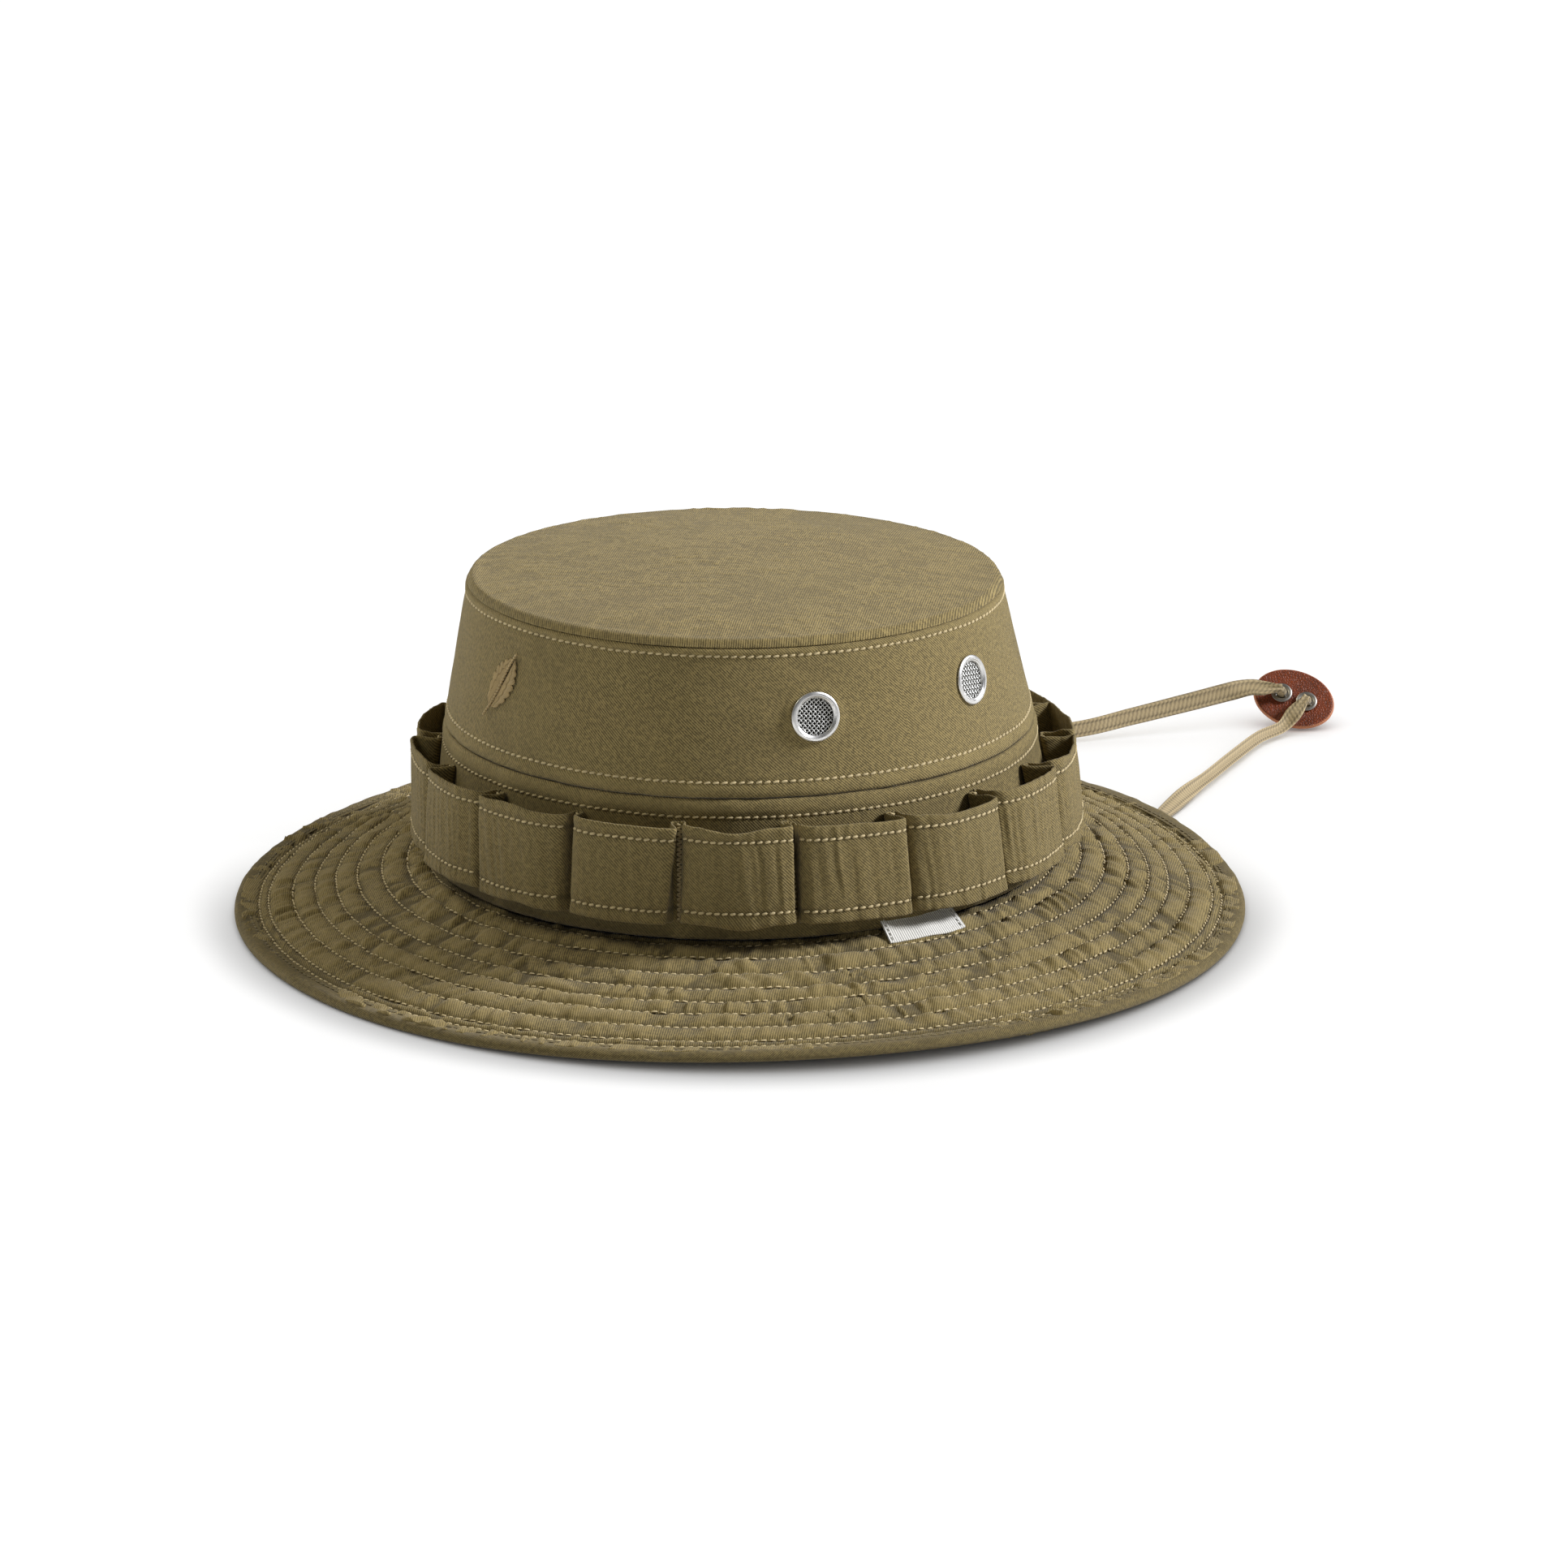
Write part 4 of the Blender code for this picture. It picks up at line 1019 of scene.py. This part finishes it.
def make_rows():
    """Stitches of the rows round the crown, the brim and the binding."""
    runs = []
    angle = np.linspace(0.0, TURN, 1400, endpoint=False)
    for surface, share, pitch, seed in (
            (wall, TOP_ROW, 2.45 * MM, 1), (wall, WALL_ROW, STITCH, 2), (band, BAND_ROW, STITCH, 3)):
        shares = share + 0.002 * ripple(angle, 0.5, seed, 29)
        normal = facing(surface, angle, shares)
        runs.append(sewn_row(surface(angle, shares) + normal * 0.16 * MM, normal, pitch, 0.74, seed))
    dress(thread_piece("crown_topstitches", runs, THREAD_LIGHT))
    over, under = [], []
    angle = np.linspace(0.0, TURN, 1800, endpoint=False)
    normal = np.broadcast_to((0.0, 0.0, 1.0), (len(angle), 3))
    for k, share in enumerate(BRIM_ROWS):
        shares = share + 0.0035 * ripple(angle, 0.5, 40 + k, 27)
        over.append(sewn_row(brim_top(angle, shares) + normal * 0.14 * MM, normal, 2.6 * MM, 0.66, 60 + k))
        under.append(sewn_row(brim_under(angle, shares) - normal * 0.12 * MM, -normal, 2.6 * MM, 0.66, 80 + k))
    dress(thread_piece("brim_upper_stitches", over, THREAD_BRIM, 0.66 * MM))
    dress(thread_piece("brim_lower_stitches", under, THREAD_BRIM, 0.60 * MM, sides=4))
    rows = []
    for up, sign in ((3.20, 1.0), (0.0, -1.0)):
        height = binding_up(angle, BINDING_ROW, up) + sign * 0.06 * MM
        rows.append(sewn_row(brim(angle, BINDING_ROW, height), sign * normal, 2.6 * MM, 0.70, 97))
    dress(thread_piece("binding_stitches", rows, THREAD_BINDING, 0.50 * MM, 0.06 * MM))


# ---------------------------------------------------------------- vents

def round_tube(path, ahead, radius, sides):
    """Rings of points round a path that heads ahead at each of its points."""
    side = unit(np.cross(ahead, (0.0, 0.0, 1.0)))
    up = np.cross(side, ahead)
    turn = TURN * np.arange(sides) / sides
    return (path[:, None, :] + side[:, None, :] * (radius * np.cos(turn))[None, :, None]
            + up[:, None, :] * (radius * np.sin(turn))[None, :, None])


def tubes_piece(name, tubes, finish):
    """Several capped tubes in one mesh."""
    points, faces, base = [], [], 0
    for tube in tubes:
        rings, sides = tube.shape[:2]
        points.append(tube.reshape(-1, 3))
        faces += tube_faces(rings, sides, base)
        faces.append(tuple(base + k for k in reversed(range(sides))))
        faces.append(tuple(base + (rings - 1) * sides + k for k in range(sides)))
        base += rings * sides
    data = bpy.data.meshes.new(name)
    data.from_pydata(np.concatenate(points).tolist(), [], faces)
    return add_piece(name, data, finish)


def weave(bore, pitch=0.98, radius=0.21, slant=math.radians(38.0)):
    """Wires of a round woven screen, in millimetres: each goes over and under those across it."""
    wires = []
    count = int(bore / pitch)
    for crossing in (0, 1):
        for k in range(-count, count + 1):
            off = k * pitch
            half = math.sqrt(max(0.0, bore ** 2 - off ** 2))
            if half < 0.6:
                continue
            run = np.linspace(-half, half, max(6, int(half * 2 / 0.155)))
            wave = 0.16 * np.cos(math.pi * (run / pitch + k)) * (1.0 if crossing else -1.0) - 0.15
            x, y = (np.full_like(run, off), run) if crossing else (run, np.full_like(run, off))
            line = np.stack([x * math.cos(slant) - y * math.sin(slant),
                             x * math.sin(slant) + y * math.cos(slant), wave], 1)
            wires.append(round_tube(line, unit(np.gradient(line, axis=0)), radius, 5))
    return wires


def make_vents():
    """Screened eyelets: the flange and barrel, the washer behind the wall, and the woven screen."""
    flange = rounded(((7.4, 0.52), (7.4, 0.86), (6.95, 1.16), (6.25, 1.24), (6.0, 0.98), (5.75, 0.86),
                      (5.5, 0.62), (5.45, -2.7), (6.5, -2.7), (6.5, -2.35), (5.85, -2.35), (5.85, 0.52)), 0.14)
    washer = rounded(((7.4, -1.8), (7.4, -2.05), (6.25, -2.05), (6.25, -1.8)), 0.08, 2)
    screen = weave(5.42)
    for number, (angle, share) in enumerate(VENTS, 1):
        matrix = crown_matrix(math.radians(angle), share)
        for part, section, finish, node, steps in (("ring", flange, NICKEL, "flange", 96),
                                                   ("back", washer, DARK_NICKEL, "washer", 48)):
            ring = turned(f"vent_{part}_{number}", section, finish, matrix, steps)
            dress(ring, nodes=(f"vent_{node}_{number}",))
        wires = [moved(wire * MM, matrix) for wire in screen]
        dress(tubes_piece(f"vent_mesh_{number}", wires, WIRE), nodes=(f"vent_screen_{number}",))


# ---------------------------------------------------------------- label and leaf

def make_label():
    """Blank ribbed label: stands a little at the seam and lies down on the brim."""
    angle, half_wide, seam_radius = math.radians(-3.0), 12.5 * MM, 96.0 * MM
    offset = np.linspace(-half_wide, half_wide, 84)[:, None]
    turn = angle + offset / seam_radius

    def height(run):
        return BRIM_THICK + mix(3.6, 0.80, run ** 0.8) * MM

    run = np.linspace(0.0, 1.0, 22)[None, :]
    share = 0.022 + 0.118 * run + 0.003 * noise(offset / (7.0 * MM), 0.5, 701)
    up = height(run) + 0.35 * MM * np.sin(math.pi * run)
    up = up + 0.28 * MM * noise(offset / (6.0 * MM), run * 1.5, 702)
    up = up + 0.35 * MM * (np.abs(offset) / half_wide) ** 6
    points = np.concatenate([brim(turn, share, up), brim(turn, share, up - 0.5 * MM)[:, ::-1]], 1)
    label = lattice("blank_label", points, RIBBON, wrap=False, tone=np.zeros(points.shape[:2]))
    dress(label, nodes=("woven_label",))
    ends = []
    for side in (-1.0, 1.0):
        line = brim(angle + side * 11.3 * MM / seam_radius, np.linspace(0.03, 0.135, 12),
                    height(np.linspace(0.0, 1.0, 12)) + 0.45 * MM)
        ends.append(sewn_row(line, np.broadcast_to((0.25, 0.0, 0.97), (12, 3)), 1.6 * MM, 0.7, 5, closed=False))
    dress(thread_piece("label_stitches", ends, RIBBON, 0.35 * MM, 0.08 * MM))


def make_leaf():
    """Embroidered leaf: satin stitches slanting off a corded midrib, with a short stem."""
    matrix = crown_matrix(math.radians(-89.5), 0.775, 0.15 * MM) @ Matrix.Rotation(math.radians(58.0), 4, "Z")
    normal = np.array(matrix)[:3, 2]
    half_long = 10.6                  # mm, as are all of the leaf's sizes
    satin = []

    def stitches(start, end):
        return moved(start * MM, matrix), moved(end * MM, matrix), np.broadcast_to(normal, start.shape)

    def width(x):
        t = np.clip((x + half_long) / (2.0 * half_long), 0.0, 1.0)
        return 6.2 * np.sin(math.pi * t) ** 0.75 * (1.0 - 0.35 * t) + 0.01

    for side in (-1.0, 1.0):
        x = np.arange(-half_long + 1.0, half_long - 1.4, 0.40)
        lobes = 0.80 + 0.20 * np.abs(np.sin(x * 1.15))
        reach = width(x + 1.6) * lobes
        start = np.stack([x, np.full_like(x, side * 0.35), np.full_like(x, 0.25)], 1)
        end = np.stack([x + 0.62 * reach, side * reach, np.full_like(x, 0.12)], 1)
        middle = (start + end) / 2.0 + np.array((0.0, 0.0, 0.28))
        satin += [stitches(start, middle), stitches(middle, end)]
    x = np.arange(-half_long - 3.4, half_long, 1.1)
    bend = 0.35 * np.sin(x * 0.25)
    rib = [stitches(np.stack([x, bend + 0.25, np.full_like(x, 0.62)], 1),
                    np.stack([x + 1.25, bend - 0.25, np.full_like(x, 0.62)], 1))]
    leaf = thread_piece("leaf_satin", satin, THREAD_LEAF, 0.46 * MM, 0.12 * MM)
    dress(leaf, nodes=("embroidered_leaf",))
    dress(thread_piece("leaf_midrib", rib, THREAD_LEAF, 0.80 * MM, 0.18 * MM))


# ---------------------------------------------------------------- cord and slider

def slider_matrix():
    heading, pitch = math.radians(SLIDER_FACING), math.radians(SLIDER_PITCH)
    normal = Vector((math.cos(heading) * math.cos(pitch), math.sin(heading) * math.cos(pitch), math.sin(pitch)))
    across = Vector((-math.sin(heading), math.cos(heading), 0.0))
    turn = Matrix((across, normal.cross(across), normal)).transposed().to_4x4()
    return Matrix.Translation(SLIDER_AT) @ turn @ Matrix.Rotation(math.radians(SLIDER_ROLL), 4, "Z")


def smooth_route(points, step):
    """Points step metres apart along a smooth curve through the route's own points."""
    ends = [points[0] * 2.0 - points[1], *points, points[-1] * 2.0 - points[-2]]
    fine = []
    for a, b, c, d in zip(ends, ends[1:], ends[2:], ends[3:]):
        for i in range(40):
            t = i / 40.0
            fine.append(0.5 * (2.0 * b + (c - a) * t + (2.0 * a - 5.0 * b + 4.0 * c - d) * t * t
                               + (3.0 * b - a - 3.0 * c + d) * t ** 3))
    fine = np.array([*fine, points[-1]])
    length = run_along(fine)
    where = np.linspace(0.0, length[-1], max(3, int(round(length[-1] / step)) + 1))
    return np.stack([np.interp(where, length, fine[:, k]) for k in range(3)], 1)


def braid_tube(name, path, lead, wide, thick, fold, roll, sides=36):
    """A flat braid along a path: lead is its face's direction, fold bends it lengthwise, roll turns it."""
    ahead = unit(np.gradient(path, axis=0))
    side = unit(np.cross(ahead, lead))
    up = np.cross(side, ahead)
    side, up = (side * np.cos(roll)[:, None] + up * np.sin(roll)[:, None],
                up * np.cos(roll)[:, None] - side * np.sin(roll)[:, None])
    turn = TURN * (np.arange(sides) + 0.5) / sides
    flat = np.sign(np.cos(turn)) * np.abs(np.cos(turn)) ** 0.72
    tall = np.sign(np.sin(turn)) * np.abs(np.sin(turn)) ** 0.60
    run = run_along(path) / MM
    across = flat[None, :] * (wide / 2.0)[:, None]
    face = np.sign(tall)[None, :]
    zig = 2.0 * np.abs(((across / MM) / 3.0 + 100.25) % 1.0 - 0.5)
    strands = np.cos(TURN * (run[:, None] / 1.5 + zig * 0.9 * face))
    columns = np.cos(TURN * ((across / MM) / 1.5 + 0.5))
    relief = 0.5 * strands + 0.5 * columns
    bulk = (thick / 2.0)[:, None] * tall[None, :] + 0.12 * MM * relief * np.abs(tall)[None, :] * face
    bent = fold[:, None] * (np.abs(across) - (wide / 4.0)[:, None])
    waves = 0.10 * MM * noise(run[:, None] / 6.0, across / MM / 2.0, 811)
    points = (path[:, None, :] + side[:, None, :] * (across * np.cos(np.arctan(fold))[:, None])[..., None]
              + up[:, None, :] * (bulk + bent + waves)[..., None])
    # The yarn relief goes to the tone: painted shade between the yarns.
    return lattice(name, points, BRAID, wrap=False, tone=np.clip(relief, -1.0, 1.0))


# Each strand from its sewn tab to the slider, in millimetres, and then over the slider, from its middle.
ROUTES = {
    "left": [
        (105.0, 2.0, 11.5), (110.5, 3.5, 7.6), (116.5, 9.5, 2.6), (119.0, 19.0, 1.0), (118.5, 36.0, 0.9),
        (111.0, 62.0, 0.9), (97.0, 88.0, 0.9), (75.0, 111.0, 0.9), (48.0, 128.0, 0.9), (26.0, 141.0, 0.9),
        (14.8, 151.6, 0.9), (10.6, 159.5, 0.9), (1.5, 176.2, 2.1), (-8.6, 195.0, 2.6), (-20.6, 215.8, 2.6),
        (-30.6, 234.5, 2.7),
    ],
    "right": [
        (-105.0, 2.0, 11.5), (-110.0, -2.5, 7.6), (-116.0, -9.5, 2.6), (-124.0, -11.0, 1.0),
        (-131.5, -5.0, 0.9), (-134.0, 8.0, 0.9), (-131.0, 34.0, 0.9), (-123.0, 62.0, 0.9),
        (-112.0, 88.0, 0.9), (-102.0, 107.0, 0.9), (-94.0, 126.0, 0.9), (-87.5, 146.0, 1.6),
        (-80.5, 166.0, 3.0), (-69.5, 189.0, 4.2), (-63.6, 207.5, 6.8), (-57.2, 226.0, 9.9),
    ],
}
ONTO_SLIDER = {
    "left": [(0.4, -13.8), (2.6, -6.6), (4.4, 0.0)], "right": [(-16.5, -4.8), (-10.0, -2.2), (-4.4, 0.0)],
}
KNOT_OUT = -6.0                       # mm from the middle of the leather to the middle of a knot under it


def make_strand(side, matrix):
    """A strand and its path: the left one is folded lengthwise, the right one turns onto its edge."""
    route = [Vector(p) * MM for p in ROUTES[side]]
    route += [matrix @ Vector((x * MM, y * MM, STRAND_OVER)) for x, y in ONTO_SLIDER[side]]
    path = smooth_route(route, 0.42 * MM)
    run = run_along(path)
    left = (run[-1] - run) / MM
    end = 1.0 - smooth(2.0, 16.0, left)
    lead = np.array((0.0, 0.0, 1.0)) * (1.0 - end)[:, None] + np.array(matrix)[:3, 2] * end[:, None]
    pinch = 1.0 - smooth(0.0, 9.0, left)
    if side == "left":
        folded = smooth(4.0, 16.0, left) * (1.0 - smooth(78.0, 104.0, left))
        wide, fold, steepest = mix(6.0, 4.6, folded), 0.55 * folded, 0.80
    else:
        wide = mix(5.2, 6.3, 1.0 - smooth(10.0, 95.0, left))
        fold, steepest = 0.10 * (1.0 - smooth(8.0, 60.0, left)), 0.95
    risen = np.clip((path[:, 2] / MM - 0.8) / (wide / 2.0), 0.0, steepest)
    roll = -np.arcsin(risen) * smooth(4.0, 20.0, left)
    wide, thick = mix(wide, 3.0, pinch) * MM, mix(1.15, 2.2, pinch) * MM
    strand = braid_tube(f"chin_strand_{side}", path, lead, wide, thick, fold + 0.5 * pinch, roll)
    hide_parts(f"cord_strand_{side}")
    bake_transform(strand)
    return strand, path


def make_tail(side, matrix, eyelet, path):
    """The end of a strand, down through its eyelet to its knot."""
    normal = Vector(np.array(matrix)[:3, 2])
    before = Vector(path[-1]) + (Vector(path[-8]) - Vector(path[-1])).normalized() * 1.2 * MM
    route = [before] + [matrix @ eyelet + normal * z * MM for z in (2.6, 1.0, -1.0, -2.6, KNOT_OUT + 1.2)]
    route = smooth_route(route, 0.35 * MM)
    across = np.broadcast_to(np.array(matrix)[:3, 1], route.shape)
    along = np.linspace(0.0, 1.0, len(route))
    tail = braid_tube(f"chin_tail_{side}", route, across, mix(3.1, 3.0, along) * MM, mix(2.4, 2.6, along) * MM,
                      0.0 * along, 0.0 * along, 24)
    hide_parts(f"cord_tail_{side}")
    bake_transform(tail)
    return tail


def make_knot(side, matrix, eyelet):
    """A stopper knot: a trefoil of braid pulled tight."""
    steps, sides = 130, 12
    turn = np.linspace(0.0, TURN, steps, endpoint=False)
    trefoil = np.stack([np.sin(turn) + 2.0 * np.sin(2.0 * turn), np.cos(turn) - 2.0 * np.cos(2.0 * turn),
                        -np.sin(3.0 * turn)], 1) * np.array((0.70, 0.70, 1.15))
    rope = round_tube(trefoil, unit(np.roll(trefoil, -1, 0) - np.roll(trefoil, 1, 0)), 1.12, sides)
    # The yarn pattern, stored as tone: painted shade between the yarns.
    relief = np.cos(TURN * (np.arange(steps)[:, None] / 5.0 + np.arange(sides)[None, :] / 3.0))
    place = matrix @ Matrix.Translation(eyelet + Vector((0.0, 0.0, KNOT_OUT * MM)))
    knot = lattice(f"stopper_knot_{side}", moved(rope * MM, place), BRAID, tone=relief)
    return dress(knot, nodes=(f"cord_knot_{side}",))


def make_cords(slider_pieces):
    matrix = slider_matrix()
    for side, sign in (("left", 1.0), ("right", -1.0)):
        eyelet = Vector((sign * EYELET_OFFSET, 0.0, 0.0))
        strand, path = make_strand(side, matrix)
        tail = make_tail(side, matrix, eyelet, path)
        knot = make_knot(side, matrix, eyelet)


def make_tabs():
    """Sewn tape tabs that hold the strands under the brim."""
    for side in ("left", "right"):
        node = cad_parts[f"cord_anchor_{side}"]
        node.data.materials.clear()
        node.data.materials.append(TAB_TAPE)


def make_slider():
    """Oval of leather with two holes, an eyelet and a washer in each."""
    matrix = slider_matrix()
    count, rings = 120, 15
    turn = TURN * np.arange(count) / count
    edge = [(1.0 - 0.75 * MM / SLIDER_HALF_SHORT * (1.0 - math.sin(a)), -math.cos(a))
            for a in np.linspace(0.0, math.pi, 13)]
    face = np.linspace(0.03, 0.90, rings)
    shrink = np.concatenate([face, [e[0] for e in edge], np.linspace(0.90, 0.03, rings)])
    height = np.concatenate([np.full(rings, -1.0), [e[1] for e in edge], np.full(rings, 1.0)])
    rough = 0.05 * MM * noise(shrink[None, :] * 9.0, turn[:, None] * 4.0, 830)
    dish = 0.10 * MM * (1.0 - shrink[None, :] ** 2)
    points = np.stack([
        SLIDER_HALF_LONG * shrink[None, :] * np.cos(turn)[:, None],
        SLIDER_HALF_SHORT * shrink[None, :] * np.sin(turn)[:, None],
        LEATHER / 2.0 * height[None, :] + rough - dish * height[None, :]], -1)
    rim = np.clip(smooth(0.945, 0.985, shrink), 0.0, 1.0)
    tone = np.broadcast_to(rim[None, :], points.shape[:2])
    body = lattice("leather_slider", points, SLIDER_LEATHER, closed=False, tone=tone)
    rework(body.data, lambda mesh: bmesh.ops.holes_fill(
        mesh, edges=[e for e in mesh.edges if e.is_boundary], sides=0))
    for x in (-EYELET_OFFSET, EYELET_OFFSET):
        bpy.ops.mesh.primitive_cylinder_add(vertices=48, radius=2.65 * MM, depth=8.0 * MM, location=(x, 0, 0))
        cutter = bpy.context.object
        cut = body.modifiers.new("hole", "BOOLEAN")
        cut.operation, cut.solver, cut.object = "DIFFERENCE", "EXACT", cutter
        bpy.context.view_layer.objects.active = body
        bpy.ops.object.modifier_apply(modifier=cut.name)
        bpy.data.objects.remove(cutter)
    body.data.transform(matrix)
    body.data.shade_smooth()
    dress(body, "slider", ("cord_slider",))
    top, under = 1.3, -1.3
    eyelet = rounded(((3.5, top), (3.5, top + 0.42), (2.9, top + 0.62), (2.15, top + 0.42), (2.0, top - 0.2),
                      (2.0, -2.4), (3.2, -2.4), (3.2, -2.0), (2.4, -2.0), (2.4, top)), 0.14)
    washer = rounded(((3.5, under), (3.5, under - 0.4), (2.7, under - 0.4), (2.7, under)), 0.1, 2)
    pieces = []
    for side, x in (("right", -EYELET_OFFSET), ("left", EYELET_OFFSET)):
        place = matrix @ Matrix.Translation((x, 0.0, 0.0))
        for part, section, node, steps in (("ring", eyelet, "eyelet", 72), ("back", washer, "washer", 40)):
            ring = turned(f"eyelet_{part}_{side}", section, DARK_NICKEL, place, steps)
            pieces.append(dress(ring, "slider", (f"slider_{node}_{side}",)))
    return pieces + [body]


# ---------------------------------------------------------------- stage, light and camera

def make_stage():
    bpy.ops.mesh.primitive_plane_add(size=14.0, location=(0.0, 0.0, -0.05 * MM))
    floor = bpy.context.object
    floor.name = "studio_floor"
    floor.data.materials.append(floor_finish())
    return floor


def add_sun(name, heading, height, strength, spread, color, floor, on_floor):
    """A soft distant light; heading turns from the camera's side of the hat towards its right."""
    right, _, back = view_axes()
    front = Vector((back.x, back.y, 0.0)).normalized()
    flat = front * math.cos(math.radians(heading)) + right * math.sin(math.radians(heading))
    place = flat * math.cos(math.radians(height)) + Vector((0.0, 0.0, math.sin(math.radians(height))))
    data = bpy.data.lights.new(name, "SUN")
    data.energy, data.angle, data.color = strength, math.radians(spread), color
    light = bpy.data.objects.new(name, data)
    bpy.context.scene.collection.objects.link(light)
    light.location = place * 2.0
    light.rotation_euler = (-place).to_track_quat("-Z", "Y").to_euler()
    lit = bpy.data.collections.new(f"{name}_lit")
    lit.objects.link(floor)
    lit.collection_objects[0].light_linking.link_state = "INCLUDE" if on_floor else "EXCLUDE"
    light.light_linking.receiver_collection = lit


def view_axes():
    """The camera's right, its up, and the way from the hat to it."""
    flat = math.cos(ELEVATION)
    back = Vector((math.sin(AZIMUTH) * flat, -math.cos(AZIMUTH) * flat, math.sin(ELEVATION)))
    right = Vector((math.cos(AZIMUTH), math.sin(AZIMUTH), 0.0))
    return right, back.cross(right), back


def make_camera():
    right, up, back = view_axes()
    data = bpy.data.cameras.new("camera")
    data.lens, data.sensor_width = 148.87, 36.0
    data.shift_x, data.shift_y = 0.0245, -0.0151
    data.clip_start, data.clip_end = 0.05, 40.0
    camera = bpy.data.objects.new("camera", data)
    bpy.context.scene.collection.objects.link(camera)
    turn = Matrix((right, up, back)).transposed().to_4x4()
    camera.matrix_world = Matrix.Translation(AIM + back * DISTANCE) @ turn
    bpy.context.scene.camera = camera


def make_light(floor):
    add_sun("key", 92.0, 33.0, 4.0, 14.0, (0.98, 0.985, 1.04), floor, False)
    add_sun("fill", -90.0, 50.0, 0.98, 30.0, (1.0, 0.95, 0.76), floor, False)
    add_sun("rim", -140.0, 30.0, 0.75, 30.0, (1.0, 0.97, 0.90), floor, False)
    add_sun("floor_dome", 0.0, 89.0, 3.3, 165.0, (1.0, 1.0, 1.0), floor, True)
    world = bpy.data.worlds.new("studio")
    world.use_nodes = True
    sky = world.node_tree.nodes["Background"]
    sky.inputs[0].default_value = (1.0, 1.0, 1.0, 1.0)
    sky.inputs[1].default_value = 0.11
    bpy.context.scene.world = world
    bpy.context.scene.view_settings.view_transform = "Standard"


make_camera()
make_cords(make_slider())
make_tabs()
make_top_panel()
make_wall()
make_crown_rest()
make_brim()
make_binding()
make_loops()
make_rows()
make_vents()
make_label()
make_leaf()
make_light(make_stage())
